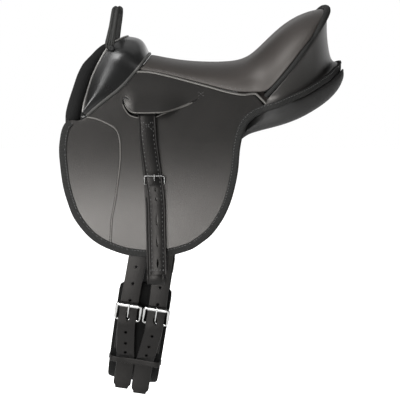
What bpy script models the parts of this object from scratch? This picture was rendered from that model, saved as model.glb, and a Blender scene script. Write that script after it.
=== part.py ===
"""A child's saddle: tree, seat, panels, flaps, stirrup leathers, grab handle and short girth.

X runs from the pommel to the cantle, Y across the saddle and Z up. The origin lies on the middle
plane, where the saddle's channel sits over the pony's spine. Sizes are in millimetres and become
metres where a mesh is made.
"""

from math import atan2, cos, pi, radians, sin, sqrt

import bmesh
import bpy
from mathutils import Vector

MM = 0.001
SIDES = (("left", -1), ("right", 1))

# The pony's side, which every flat layer follows: an ellipse seen from the front
BARREL_HALF_WIDTH = 146.0
BARREL_RISE = 340.0
BARREL_CENTRE_Z = -245.0
LEVEL_STEP = 7.5
LEVEL_COUNT = 12

# Gaps between pieces that touch
SEAT_GAP = 0.35
HINGE_GAP = 0.18

# Layers on the pony's side, as thicknesses and the room between them, from the inside out
SWEAT_FLAP_THICK = 3.5
SWEAT_FLAP_ROOM = 3.0
BILLET_THICK = 3.0
BILLET_ROOM = 2.5
FLAP_THICK = 3.5
LEATHER_THICK = 2.3
LEATHER_ROOM = 0.5
PANEL_ROOM = 0.7

BILLET_IN = 0.0
BILLET_OUT = BILLET_IN + BILLET_THICK
SWEAT_OUT = BILLET_IN - SWEAT_FLAP_ROOM
SWEAT_IN = SWEAT_OUT - SWEAT_FLAP_THICK
PANEL_OUT = SWEAT_IN - PANEL_ROOM
FLAP_IN = BILLET_OUT + BILLET_ROOM
FLAP_OUT = FLAP_IN + FLAP_THICK

# Seat: a crowned section at each station, from the middle (x, z) to the edge (x, z) or (x, y, z)
SEAT_MIDDLE = (
    (-74, 95), (-54, 90.5), (-28, 86), (-2, 84), (22, 83.5), (44, 84.5), (62, 88),
    (78, 98), (92.5, 113.5), (108, 129), (125, 143.5), (144, 154.5), (163, 160.5), (181.5, 161.5),
)
SEAT_WELT = (
    (-91, 74), (-70, 73), (-45, 68), (-18, 61.5), (10, 54.5), (36, 47.5), (60, 43.5), (77, 45),
)
CANTLE_RIM = (
    (91, 93, 42), (104, 98, 57), (117, 100, 72), (130, 99, 88), (143, 95, 105), (155, 86, 121),
)
SEAT_DISH = (0, 0, 0, 0, 0, 0, 1, 3, 5, 6, 6, 5, 3, 0)
DISH_SPREAD = 0.65
SEAT_FULLNESS = 0.8
SEAT_COLUMNS = 6
COVER_THICK = 2.2
FOAM_THICK = 11.0
SEAT_SIDE_ROOM = 0.3
TREE_THICK = 4.6
FOAM_EDGE = 3.0
FOAM_REAR_EDGE = 7.0
TREE_REAR_EDGE = 11.0

# Tree's side rails, upright plates below the seat's edge
RAIL_TOP_Z = 33.0
RAIL_FOOT_Z = 12.0
RAIL_THICK = 4.0

# Welts, piping and bindings
WELT_RADIUS = 2.0
WELT_SINK = 0.8
WELT_START = 0.22
WELT_TAIL = ((82, 41), (88, 35.5))
POMMEL_PIPE_RADIUS = 1.5
CANTLE_BIND_RADIUS = 3.0
BIND_THICK = 1.0
BINDING_STAND = BIND_THICK + SEAT_GAP
FLAP_BIND_WIDTH = 9.0
BAND_HEIGHT = 8.0
BAND_THICK = 3.0
BINDING_SPACE = 0.8

# Pommel: rim from the middle (x, y, z), its foot (x, z) beside the flap, and the seam's lower part (x, z)
POMMEL_ARCH = (
    (-105, 0, 121), (-109, 18, 118), (-116, 31, 112), (-127, 42, 103), (-137, 50, 93), (-146, 58, 80),
    (-152, 66, 66),
)
POMMEL_FOOT = ((-156.5, 51), (-160, 37), (-162, 25), (-162.5, 14))
POMMEL_FOOT_DEPTH = 6.0
POMMEL_SEAM = ((-98, 66), (-106, 57.5), (-116, 48.5), (-128, 39.5), (-142, 28.5), (-156, 16.5))
POMMEL_BULGE = 8.2
POMMEL_BULGE_POWER = 1.15
POMMEL_THICK = 4.0
POMMEL_COLUMNS = 5
HEAD_PLATE_THICK = 3.0

# Front facing: a roll under the pommel's rim, as shifts from the rim and its radius there
FACING_SHIFT = (
    (-8.0, 0, -9.5), (-7.5, -1, -8.5), (-8.0, -2.5, -7.0), (-9.0, -2.5, -5.5), (-10.2, -2.5, -4.0),
    (-10.8, -2.5, -1.0), (-10.8, -2.5, -0.2), (-10.8, -2, 0), (-11.4, -2, 0), (-12.8, -5, 0), (-14.4, -9, 0),
)
FACING_RADIUS = (6, 6, 6, 6.5, 8, 10, 10.4, 10.4, 10.4, 10.4, 10.4)
FACING_FOOT = (-177, 86, -10)

# Flap and skirt, as (x, z)
HINGE_Z = 34.0
FLAP_LIP = ((-159.5, 11.5), (-167, 10), (-176, 10.3))
FLAP_EDGE = (
    (-181, 9.5), (-186, 4), (-189, -3), (-191, -14), (-192, -29),
    (-190, -50), (-186, -76), (-180, -97),
    (-171, -119), (-154, -141), (-139, -153), (-120, -162), (-96, -169), (-55, -171), (-15, -162),
    (3, -151), (16, -140), (31, -119), (41, -97), (47, -76), (51, -55), (53, -34), (55, -20), (59, -6),
    (65, 6), (75, 15), (87, 21),
)
FLAP_REAR_X = 87.0
FLAP_FRONT_ROOM = 1.0
SWEAT_EDGE = (
    (-150, -14), (-165, -45), (-170, -75), (-163, -105), (-140, -135), (-100, -152), (-55, -155),
    (-15, -147), (10, -130), (25, -100), (30, -70), (32, -40), (34, -14),
)
SLIT_EDGE = ((-108, 34), (-105, 25), (-99, 19), (-85, 13), (-58, 13.5), (-44, 17), (-29, 23), (-6, 34))
TONGUE_EDGE = ((-103, 34), (-101, 29), (-94, 23), (-85, 21.5), (-58, 21.5), (-46, 22), (-30, 26), (-11, 34))
TONGUE_THICK = 3.0
TONGUE_THIN_TOP = 1.3
TONGUE_LIFT = 9.6
TONGUE_RISE = 12.0

# Skirt: room below the welt, above the hinge at the seam's foot, and beside the pommel's piping
SKIRT_WELT_ROOM = 0.4
SKIRT_SEAM_END = 4.0
SKIRT_FOOT_ROOM = 1.5
SKIRT_TOP_ROOM = 2.5

# Panels: gullet channel, bottom edge (x, z), front stations and the rear ones as (x, outer y, band's
# height, foot's height)
CHANNEL_HALF = 30.0
PANEL_FOOT = ((-153, -40), (-120, -62), (-60, -70), (0, -62), (30, -42), (55, -14), (62, -11))
PANEL_SIDE_DROP = 10.0
PANEL_TOP_Z = 38.0
PANEL_SHOULDER_Z = -12.0
PANEL_SHOULDER_RISE = 58.0
PANEL_HIP_SHARE = 0.6
PANEL_ROLL = 8.0
PANEL_ROLL_DROP = 3.0
PANEL_BELLY_SHARE = 0.5
PANEL_BELLY_LAYER = -28.0
PANEL_INNER_LAYER = -34.0
PANEL_INNER_Z = 4.0
PANEL_CHANNEL_FLARE = 2.0
PANEL_CHANNEL_Z = 22.0
PANEL_STATIONS = (-153, -130, -105, -75, -40, -5, 25, 62)
PANEL_REAR = (
    (89, 97, 26, -7), (105, 98, 31, -3), (122, 95, 37, 1.5), (142, 88.5, 46, 8.5), (162, 78.5, 56, 18.5),
    (179, 67.5, 64.5, 28.5), (192, 55.5, 71.5, 39), (202, 43, 77, 50), (207.5, 30, 81, 61),
)
PANEL_TUCKED = 3

# Rear panel's section. Its top is (in from the back, rise over the band) where it is tucked in, or (in
# from the back, share of the height down). Its side is (in from the bulge, share of the height up),
# and its underside (share of the way out from the channel, share of the height up).
REAR_BULGE_ROOM = 1.5
REAR_BAND_ROOM = 1.0
REAR_CHANNEL_IN = 3.0
REAR_CHANNEL_ROOM = 20.0
REAR_TUCK_RISE = 4.0
REAR_TUCKED_TOP = ((9.0, 1.0), (0.0, -1.0))
REAR_WHOLE_TOP = ((12.0, 0.0), (4.0, 0.06), (0.0, 0.16))
REAR_SIDE = ((0.0, 0.6), (2.0, 0.2), (10.0, 0.0))
REAR_UNDER = ((0.5, 0.1), (0.2, 0.28), (0.0, 0.42))

# Rear binding band: (x, y, z) of its middle line from the flap round to the back
BAND_LINE = (
    (91, 99, 27), (104, 101, 31), (117, 99, 36), (131, 95, 42), (146, 89, 48), (160, 80, 55), (173, 69, 62),
    (184, 56, 67), (192, 42, 72), (198, 28, 76.5), (202.5, 14, 80), (204, 0, 82),
)
LEDGE_SIDE = 3.0
LEDGE_REAR = 12.0
CANTLE_HOLLOW = 3.0
CANTLE_COVER_THICK = 2.2
CANTLE_CENTRE_X = 90.0
CANTLE_ROWS = 4
CANTLE_TOP_ROOM = 0.6
CANTLE_LIP_ROOM = 0.4
CANTLE_LIP_RISE = 2.0
LEDGE_RISE = 3.0
LEDGE_SPREAD = 3
HOLLOW_SPREAD = 0.3
HOLLOW_DEPTH_POWER = 0.8

# Stirrup bar and leather
BAR_X = -73.0
BAR_RADIUS = 2.4
BAR_HALF_SPAN = 20.0
LEATHER_WIDTH = 24.0
LEATHER_LINE = ((34, -73.5), (18, -73), (-15, -70.5), (-43, -66.5), (-67, -62.5), (-100, -60), (-210, -58))
LEATHER_BUCKLE_Z = -67.0
LEATHER_END_Z = -193.0
LEATHER_LOOP_Z = -208.0
LEATHER_EYE_RADIUS = 5.2
LEATHER_RISE_TOP = -115.0
LEATHER_RISE_FOOT = -152.0
LEATHER_TOP_Z = 20.0

# Stirrup leather's run, as (stand over its layer, rise over the end, buckle or loop)
LEATHER_TIP = ((2.9, 0.0), (2.3, 5.0), (0.0, 28.0))
LEATHER_INTO_BUCKLE = ((0.0, -19.0), (2.1, -10.0), (2.1, -6.0))
LEATHER_OUT_OF_BUCKLE = ((0.7, 5.0), (0.0, 9.0))
LEATHER_TOP_FOLD = (0.9, 2.0)
EYE_SHAPE = ((-0.78, 15.0), (-1.0, 8.0), (-0.7, 2.5), (0.0, 0.0), (0.7, 2.5), (1.0, 8.0), (0.78, 15.0))
EYE_HEIGHT = 22.0
TIP_HEIGHT = 22.0
LEG_ROOM = 12.0
LEG_END_DROP = 11.5
LEATHER_HOLE_DROP = 2.0
LEATHER_HOLE = (1.7, 4.8)
LEATHER_HOLE_REACH = (1.4, 8.0)

# Loop of leather round the bar, its turn in degrees, and the stirrup buckle with its prong
BAR_LIFT = 3.0
LOOP_TURN = (243.0, 60.0)
LOOP_STEPS = 6
LOOP_END_IN = 5.5
LOOP_TAIL = (1.3, 2.6)
STIRRUP_WIRE = 1.0
STIRRUP_PRONG_RADIUS = 0.9
STIRRUP_BUCKLE_LOW = 7.0
STIRRUP_BUCKLE_HIGH = 6.0
STIRRUP_BUCKLE_ROOM = 0.8
STIRRUP_BUCKLE_CORNER = 2.5
STIRRUP_HOOK_TURN = (250.0, 372.0)
STIRRUP_PRONG_TIP = (0.3, 2.2)
HOOK_ROOM = 0.25

# Girth
GIRTH_X = -80.5
GIRTH_LEAN = 0.16
LEAN_FADE_TOP = -100.0
LEAN_FADE_FOOT = -200.0
BUCKLE_Z = -255.0
BILLET_WIDTH = 25.0
BILLET_SPACING = 38.6
BILLET_KEPT_SPACING = 26.6
BILLET_UPPER_SPACING = 35.4
BILLET_SPREAD_Z = (-225.0, -185.0)
BILLET_TOP_Z = 22.0
BILLET_END_Z = (-375.0, -379.0)
BILLET_LAID_Z = (-300.0, -316.0)
BILLET_KEPT_Z = -333.0
HOLE_RISES = (-57.0, -42.0, -24.0, 0.0, 24.0, 48.0, 72.0)
HOLE_RADIUS = 2.2
PRONG_SLOT_HALF = 6.8
PRONG_SLOT_WIDE = 2.6
BUCKLE_RISE = 24.0
BUCKLE_SPAN = 33.4
BUCKLE_CORNER = 3.2
BUCKLE_WIRE = 2.25
ROLLER_RADIUS = 3.2
ROLLER_BORE = 2.5
PRONG_RADIUS = 1.2
CHAPE_THICK = 1.8
CHAPE_WIDTH = 25.0
CHAPE_FOOT_Z = -314.0
CHAPE_BENDS_Z = (-300.0, -285.0)
PAD_WIDTH = 74.0
PAD_THICK = 10.0
PAD_TOP_Z = -212.0
PAD_DROP = 145.0
PAD_SQUARENESS = 2.35
KEEPER_Z = -330.0
KEEPER_HEIGHT = 8.0
KEEPER_THICK = 1.6

# Billet's run past the rail, behind the buckle's lower bar and under the keeper
BILLET_RAIL_ROOM = 0.4
BILLET_RAIL_DROP = 4.0
BILLET_FIRST_Z = -12.0
BILLET_LEVEL_ROOM = 2.0
BILLET_OVER_BAR = 10.0
BILLET_UNDER_BAR = ((8.0, 0.0), (20.0, -0.3))
BILLET_CHAPE_ROOM = 1.4
BILLET_LAID_STAND = 1.4
BILLET_KEPT_STAND = 1.6
BILLET_END_IN = 2.0
HOLE_DROP = 6.0
HOLE_REACH = 7.0

# Girth buckle's hook and tongue, the chape's slot, and the rounded sections of the pad and keeper
HOOK_TURN = (200.0, 370.0)
TONGUE_TIP_RISES = (-2.0, 3.0)
CHAPE_ROOM = 0.5
CHAPE_SLOT = (3.2, 9.0)
CHAPE_SLOT_RISE = 0.5
CHAPE_SLOT_REACH = 9.0
PAD_EDGE = 2.0
PAD_SHOULDER = 8.0
PAD_EDGE_SHARE = 0.7
PAD_STEPS = 8
KEEPER_ROOM = 0.4
KEEPER_FOOT = 3.5
KEEPER_FOOT_RISE = 2.0
KEEPER_SHOULDER = 3.0

# Handle
HANDLE_WIDTH = 14.0
HANDLE_THICK = 3.0
HANDLE_SCREW_X = -125.0
HANDLE_SCREW_Z = 106.5
HANDLE_FOOT_Z = 105.0
HANDLE_FOOT_Y = 49.4
HANDLE_TOP_Z = 161.0
HANDLE_LEAN = 8.5
# (in from the foot, drop from the top, lean back out of 1) up the handle's side and over its top
HANDLE_BEND = ((3.5, 22.0, 4 / 6), (8.0, 8.0, 5.5 / 6), (16.0, 1.5, 1.0), (26.0, 0.0, 1.0))
HANDLE_CROWN = 1.0
HANDLE_FOOT_BACK = -1 / 6
HANDLE_SHIFT = 3.0
HANDLE_SCREW_RISE = 4.0
SCREW_RADIUS = 2.0
SCREW_LENGTH = 11.0
SCREW_HEAD_RADIUS = 4.5
SCREW_HEAD_HEIGHT = 2.0
SCREW_HEAD_TAPER = 0.7
SCREW_BORE_DEPTH = 26.0
SCREW_BORE_OUT = 6.0

FINISHES = {
    "smooth_leather": ((0.022, 0.022, 0.022), 0.42, 0.0),
    "gloss_moulding": ((0.012, 0.012, 0.012), 0.18, 0.0),
    "soft_facing": ((0.008, 0.008, 0.008), 0.85, 0.0),
    "ribbed_tape": ((0.015, 0.015, 0.015), 0.8, 0.0),
    "strap_leather": ((0.025, 0.025, 0.024), 0.5, 0.0),
    "panel_cloth": ((0.02, 0.02, 0.021), 0.75, 0.0),
    "girth_cloth": ((0.012, 0.012, 0.012), 0.95, 0.0),
    "chromed_steel": ((0.8, 0.8, 0.8), 0.12, 1.0),
    "tree_moulding": ((0.06, 0.06, 0.06), 0.5, 0.0),
    "head_steel": ((0.35, 0.35, 0.36), 0.4, 1.0),
    "foam": ((0.75, 0.72, 0.6), 0.95, 0.0),
}


def material(finish):
    found = bpy.data.materials.get(finish)
    if found:
        return found
    colour, roughness, metallic = FINISHES[finish]
    made = bpy.data.materials.new(finish)
    made.use_nodes = True
    shader = made.node_tree.nodes["Principled BSDF"]
    shader.inputs["Base Color"].default_value = (*colour, 1)
    shader.inputs["Roughness"].default_value = roughness
    shader.inputs["Metallic"].default_value = metallic
    return made


def world_place(obj):
    """Where an unturned object lies, in millimetres, however many parents it hangs from."""
    place = Vector((0, 0, 0))
    while obj:
        place += obj.location / MM
        obj = obj.parent
    return place


def pivot(name, place, carrier=None):
    """An empty on a joint's axis, which the moving pieces hang from."""
    empty = bpy.data.objects.new(name, None)
    empty.location = (Vector(place) - world_place(carrier)) * MM
    empty.parent = carrier
    bpy.context.scene.collection.objects.link(empty)
    return empty


def finish_mesh(name, shape, finish, parent=None, cutter=False):
    """Turn a bmesh in world millimetres into an object, its origin on its parent empty."""
    bmesh.ops.recalc_face_normals(shape, faces=shape.faces[:])
    if shape.calc_volume(signed=True) < 0:
        bmesh.ops.reverse_faces(shape, faces=shape.faces[:])
    shift = world_place(parent)
    for vert in shape.verts:
        vert.co = (vert.co - shift) * MM
    mesh = bpy.data.meshes.new(name)
    shape.to_mesh(mesh)
    shape.free()
    mesh.shade_smooth()
    mesh.set_sharp_from_angle(angle=radians(35))
    obj = bpy.data.objects.new(name, mesh)
    bpy.context.scene.collection.objects.link(obj)
    if parent:
        obj.parent = parent
    if cutter:
        obj.hide_render = True
        obj.display_type = "WIRE"
    else:
        mesh.materials.append(material(finish))
    return obj


def cut(obj, cutter):
    boolean = obj.modifiers.new("cut_" + cutter.name, "BOOLEAN")
    boolean.operation = "DIFFERENCE"
    boolean.object = cutter


def lerp(a, b, t):
    return a + (b - a) * t


def along(line, x):
    """Value at x on a polyline of (x, value), its ends running on level."""
    line = sorted(line)
    if x <= line[0][0]:
        return line[0][1]
    for (x0, v0), (x1, v1) in zip(line, line[1:]):
        if x <= x1:
            return lerp(v0, v1, (x - x0) / (x1 - x0))
    return line[-1][1]


def drape_knots():
    """Heights where the draped layers crease, with the half-width and the slope's stretch there."""
    knots = []
    for step in range(LEVEL_COUNT):
        angle = radians(LEVEL_STEP * step)
        slope = BARREL_HALF_WIDTH / BARREL_RISE * sin(angle) / cos(angle)
        z = BARREL_CENTRE_Z + BARREL_RISE * sin(angle)
        knots.append((z, BARREL_HALF_WIDTH * cos(angle), sqrt(1 + slope * slope)))
    return knots


KNOTS = drape_knots()
LEVELS = [z for z, y, stretch in KNOTS]


def drape(z, layer):
    """Half-width of the pony's side at height z, moved out square to it by layer."""
    y = along([(knot[0], knot[1]) for knot in KNOTS], z)
    stretch = along([(knot[0], knot[2]) for knot in KNOTS], z)
    return y + layer * stretch


def at_levels(line):
    """The (x, z) line with a point added wherever it crosses a crease."""
    points = [line[0]]
    for (x0, z0), (x1, z1) in zip(line, line[1:]):
        crossings = sorted((level - z0) / (z1 - z0) for level in LEVELS if (level - z0) * (level - z1) < 0)
        points += [(lerp(x0, x1, t), lerp(z0, z1, t)) for t in crossings]
        points.append((x1, z1))
    return points


def inset(line, distance):
    """The open (x, z) line moved sideways, to its left where distance is positive."""
    moved = []
    for i, (x, z) in enumerate(line):
        before = Vector(line[max(i - 1, 0)])
        after = Vector(line[min(i + 1, len(line) - 1)])
        way = (after - before).normalized()
        moved.append((x - way.y * distance, z + way.x * distance))
    return moved


def side_sheet(name, outline, inner, outer, side, finish, parent=None, cutter=False):
    """A flat-cut layer draped on the pony's side. Its two faces lie at the layers inner and outer."""
    inner_at = inner if callable(inner) else lambda z: inner
    outer_at = outer if callable(outer) else lambda z: outer
    shape = bmesh.new()
    shape.faces.new([shape.verts.new((x, 0, z)) for x, z in outline])
    for level in LEVELS:
        everything = shape.verts[:] + shape.edges[:] + shape.faces[:]
        bmesh.ops.bisect_plane(shape, geom=everything, dist=1e-4, plane_co=(0, 0, level), plane_no=(0, 0, 1))
    bmesh.ops.triangulate(shape, faces=shape.faces[:])
    inside = shape.verts[:]
    outside = bmesh.ops.extrude_face_region(shape, geom=shape.faces[:])["geom"]
    for vert in inside:
        vert.co.y = side * drape(vert.co.z, inner_at(vert.co.z))
    for vert in (item for item in outside if isinstance(item, bmesh.types.BMVert)):
        vert.co.y = side * drape(vert.co.z, outer_at(vert.co.z))
    return finish_mesh(name, shape, finish, parent, cutter)


def grid_normals(grid):
    """Square-out direction at each point of a grid of Vectors."""
    rows = len(grid)
    cols = len(grid[0])
    normals = []
    for i in range(rows):
        line = []
        for j in range(cols):
            down = grid[min(i + 1, rows - 1)][j] - grid[max(i - 1, 0)][j]
            across = grid[i][min(j + 1, cols - 1)] - grid[i][max(j - 1, 0)]
            line.append(across.cross(down).normalized())
        normals.append(line)
    return normals


def offset_grid(grid, normals, distance):
    return [[p + n * distance for p, n in zip(row, out)] for row, out in zip(grid, normals)]


def drawn_in(line, inner_line, distances):
    """An edge line moved towards its neighbour line, each point by its distance square to the edge."""
    moved = []
    last = len(line) - 1
    for k, (edge, inner) in enumerate(zip(line, inner_line)):
        way = inner - edge
        runs = [line[a + 1] - line[a] for a in (max(k - 1, 0), min(k, last - 1))]
        square = max(min(way.normalized().cross(run.normalized()).length for run in runs), 0.3)
        moved.append(edge + way * min(distances[k] / square / way.length, 0.9))
    return moved


def trim_grid(grid, first, last, sides):
    """Draw the grid's edges in along its surface: first and last row, and both sides row by row."""
    width = len(grid[0])
    front = drawn_in(grid[0], grid[1], [first] * width)
    rear = drawn_in(grid[-1], grid[-2], [last] * width)
    rows = [front] + grid[1:-1] + [rear]
    starts = drawn_in([row[0] for row in rows], [row[1] for row in rows], sides)
    ends = drawn_in([row[-1] for row in rows], [row[-2] for row in rows], sides)
    return [[start] + row[1:-1] + [end] for start, row, end in zip(starts, rows, ends)]


def shell(name, outer, inner, finish, parent=None, left_out=()):
    """A closed sheet between two grids. Cells in left_out are open."""
    shape = bmesh.new()
    tops = [[shape.verts.new(p) for p in row] for row in outer]
    unders = [[shape.verts.new(p) for p in row] for row in inner]
    edges = {}
    for i in range(len(outer) - 1):
        for j in range(len(outer[0]) - 1):
            if (i, j) in left_out:
                continue
            corners = ((i, j), (i + 1, j), (i + 1, j + 1), (i, j + 1))
            turn = 0 if j < (len(outer[0]) - 1) / 2 else 1
            for pick in ((turn, turn + 1, turn + 2), (turn, turn + 2, (turn + 3) % 4)):
                triangle = [corners[k] for k in pick]
                shape.faces.new([tops[a][b] for a, b in triangle])
                shape.faces.new([unders[a][b] for a, b in reversed(triangle)])
            for k, start in enumerate(corners):
                end = corners[(k + 1) % 4]
                if (end, start) in edges:
                    del edges[(end, start)]
                else:
                    edges[(start, end)] = True
    for (a, b), (c, d) in edges:
        shape.faces.new((tops[c][d], tops[a][b], unders[a][b], unders[c][d]))
    for vert in [v for v in shape.verts if not v.link_faces]:
        shape.verts.remove(vert)
    return finish_mesh(name, shape, finish, parent)


def loft(name, rings, finish, closed=False, parent=None, cutter=False):
    """Skin between rings of points, with flat ends unless the rings close on themselves."""
    shape = bmesh.new()
    loops = [[shape.verts.new(p) for p in ring] for ring in rings]
    pairs = list(zip(loops, loops[1:]))
    if closed:
        pairs.append((loops[-1], loops[0]))
    for a, b in pairs:
        for k in range(len(a)):
            n = (k + 1) % len(a)
            shape.faces.new((a[k], a[n], b[n], b[k]))
    if not closed:
        shape.faces.new(loops[0][::-1])
        shape.faces.new(loops[-1])
    return finish_mesh(name, shape, finish, parent, cutter)


def tube_rings(path, radius, sides, closed=False):
    """Rings of a round tube along a path. The radius is one number or one for each point."""
    points = [Vector(p) for p in path]
    count = len(points)
    radii = radius if isinstance(radius, (list, tuple)) else [radius] * count
    ways = []
    for i in range(count):
        if closed:
            way = points[(i + 1) % count] - points[i - 1]
        else:
            way = points[min(i + 1, count - 1)] - points[max(i - 1, 0)]
        ways.append(way.normalized())
    side = ways[0].orthogonal().normalized()
    rings = []
    for i, (point, way) in enumerate(zip(points, ways)):
        side = (side - way * side.dot(way)).normalized()
        up = way.cross(side)
        corner = 1.0
        if closed or 0 < i < count - 1:
            before = (point - points[i - 1]).normalized()
            corner = 1 / max(before.dot(way), 0.7)
        ring = []
        for k in range(sides):
            angle = 2 * pi * k / sides
            ring.append(point + (side * cos(angle) + up * sin(angle)) * radii[i] * sqrt(corner))
        rings.append(ring)
    return rings


def tube(name, path, radius, sides, finish, closed=False, parent=None):
    return loft(name, tube_rings(path, radius, sides, closed), finish, closed, parent)


def rod_rings(start, end, wide, tall, sides=12):
    """Two rings of a straight rod across the saddle, wide along X and tall along Z."""
    rings = []
    for centre in (Vector(start), Vector(end)):
        ring = []
        for k in range(sides):
            angle = 2 * pi * (k + 0.5) / sides
            ring.append(centre + Vector((wide * cos(angle), 0, tall * sin(angle))))
        rings.append(ring)
    return rings


def strap_rings(path, width, thick):
    """Rings of a flat strap whose width lies along X, from points (x, y, z)."""
    points = [Vector(p) for p in path]
    count = len(points)
    thicks = thick if isinstance(thick, (list, tuple)) else [thick] * count
    rings = []
    for i, point in enumerate(points):
        before = points[i] - points[i - 1] if i else points[1] - points[0]
        after = points[i + 1] - points[i] if i < count - 1 else before
        before = Vector((0, before.y, before.z)).normalized()
        after = Vector((0, after.y, after.z)).normalized()
        way = (before + after).normalized()
        half = thicks[i] / 2 / max(way.dot(before), 0.5)
        out = Vector((0, -way.z, way.y)) * half
        across = Vector((width / 2, 0, 0))
        rings.append([point - across - out, point + across - out, point + across + out, point - across + out])
    return rings


def strap(name, path, width, thick, finish, parent=None):
    return loft(name, strap_rings(path, width, thick), finish, parent=parent)


def mirrored(points, side):
    return [(x, side * y, z) for x, y, z in points]


def arc(centre, radius, start, end, steps):
    """Points (a, b) on a circle from one angle to another, in degrees."""
    angles = [radians(lerp(start, end, k / steps)) for k in range(steps + 1)]
    return [(centre[0] + radius * cos(a), centre[1] + radius * sin(a)) for a in angles]


# Seat surface

def seat_edges():
    welt = [(x, drape(z, FLAP_OUT), z) for x, z in SEAT_WELT]
    return [Vector(p) for p in welt + list(CANTLE_RIM)]


SEAT_EDGES = seat_edges()


def seat_point(station, angle):
    """Point of the seat at a station, from its edge at 0 to the middle at 90 degrees."""
    edge = SEAT_EDGES[station]
    middle_x, middle_z = SEAT_MIDDLE[station]
    rise = max(sin(radians(angle)), 0.0) ** SEAT_FULLNESS
    reach = max(cos(radians(angle)), 0.0) ** SEAT_FULLNESS if angle < 90 else 0.0
    spread = min(reach / DISH_SPREAD, 1.0)
    dish = SEAT_DISH[station] * cos(spread * pi / 2) ** 2
    return Vector((lerp(edge.x, middle_x, rise), edge.y * reach, lerp(edge.z, middle_z, rise) - dish))


def seat_grid():
    """Rows from pommel to cantle, columns from the right edge to the left one."""
    grid = []
    for station in range(len(SEAT_MIDDLE)):
        half = [seat_point(station, 90 * k / SEAT_COLUMNS) for k in range(SEAT_COLUMNS + 1)]
        other = [Vector((p.x, -p.y, p.z)) for p in half[:-1]]
        grid.append(half + other[::-1])
    return grid


def make_seat():
    grid = seat_grid()
    normals = grid_normals(grid)
    front = POMMEL_PIPE_RADIUS + SEAT_GAP
    side = WELT_RADIUS + SEAT_GAP + SEAT_SIDE_ROOM
    rear = CANTLE_BIND_RADIUS + SEAT_GAP

    def layer(top, under, first, last, sides):
        outer = trim_grid(offset_grid(grid, normals, -top), first, last, sides)
        inner = trim_grid(offset_grid(grid, normals, -under), first, last, sides)
        return outer, inner

    welted = len(SEAT_WELT)
    edges = [side] * welted + [rear] * (len(SEAT_MIDDLE) - welted)
    shell("seat_cover", *layer(0, COVER_THICK, front, rear, edges), "smooth_leather")
    foam_top = COVER_THICK + SEAT_GAP
    foam_under = foam_top + FOAM_THICK
    deep_edges = [FOAM_EDGE] * welted + [FOAM_REAR_EDGE] * (len(SEAT_MIDDLE) - welted)
    shell("seat_foam", *layer(foam_top, foam_under, front, FOAM_REAR_EDGE, deep_edges), "foam")
    tree_top = foam_under + SEAT_GAP
    tree_edges = [FOAM_EDGE] * welted + [TREE_REAR_EDGE] * (len(SEAT_MIDDLE) - welted)
    outer, inner = layer(tree_top, tree_top + TREE_THICK, front, TREE_REAR_EDGE, tree_edges)
    make_tree(outer, inner)


def rail_face_y():
    """Half-width of the rails' upright outer faces."""
    return drape(RAIL_TOP_Z, FLAP_OUT - COVER_THICK - FOAM_THICK - 2 * SEAT_GAP)


def make_tree(outer, inner):
    """The tree's shell, with a rail hanging from its edge on each side as far as the cantle."""
    rail_y = rail_face_y()
    rows = len(outer)
    last_rail_row = len(SEAT_WELT) - 2
    for i in range(rows):
        for grid, y in ((outer, rail_y), (inner, rail_y - RAIL_THICK)):
            x = grid[i][0].x
            upper = Vector((x, y, RAIL_TOP_Z))
            lower = Vector((x, y, RAIL_FOOT_Z))
            grid[i] = [lower, upper] + grid[i] + [Vector((x, -y, RAIL_TOP_Z)), Vector((x, -y, RAIL_FOOT_Z))]
    cols = len(outer[0]) - 1
    left_out = {(i, j) for i in range(last_rail_row, rows) for j in (0, 1, cols - 2, cols - 1)}
    shell("tree", outer, inner, "tree_moulding", left_out=left_out)


def make_welts():
    """Piping between the seat and the skirts, down to the binding band at the back."""
    first = Vector(SEAT_WELT[0]).lerp(Vector(SEAT_WELT[1]), WELT_START)
    line = [tuple(first)] + list(SEAT_WELT[1:]) + list(WELT_TAIL)
    for label, side in SIDES:
        path = [(x, side * drape(z, FLAP_OUT - WELT_SINK), z) for x, z in line]
        tube("seat_piping_" + label, path, WELT_RADIUS, 8, "smooth_leather")


# Pommel

def seam_line():
    """The pommel's rear seam on the right, from the middle down to the flap."""
    top = [seat_point(0, 90 - 90 * k / 4) for k in range(5)]
    side = [Vector((x, drape(z, FLAP_OUT), z)) for x, z in POMMEL_SEAM]
    return top + side


def both_sides(half):
    """A line from the middle down one side, made into one line over both, right end first."""
    right = [Vector(p) for p in half[::-1]]
    left = [Vector((p[0], -p[1], p[2])) for p in half[1:]]
    return right + left


def pommel_rim():
    """The pommel's front rim on the right, from the middle down to the flap."""
    foot = [(x, drape(z, FLAP_OUT - POMMEL_FOOT_DEPTH), z) for x, z in POMMEL_FOOT]
    return list(POMMEL_ARCH) + foot


def pommel_grid():
    """Rows from the rim to the seam, columns over the arch from right to left."""
    rim = both_sides(pommel_rim())
    seam = both_sides(seam_line())
    rows = []
    for i in range(POMMEL_COLUMNS + 1):
        t = i / POMMEL_COLUMNS
        rows.append([r.lerp(s, t) for r, s in zip(rim, seam)])
    normals = grid_normals(rows)
    for i, row in enumerate(rows):
        swell = POMMEL_BULGE * sin(pi * i / POMMEL_COLUMNS) ** POMMEL_BULGE_POWER
        rows[i] = [p + n * swell for p, n in zip(row, normals[i])]
    return rows


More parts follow.
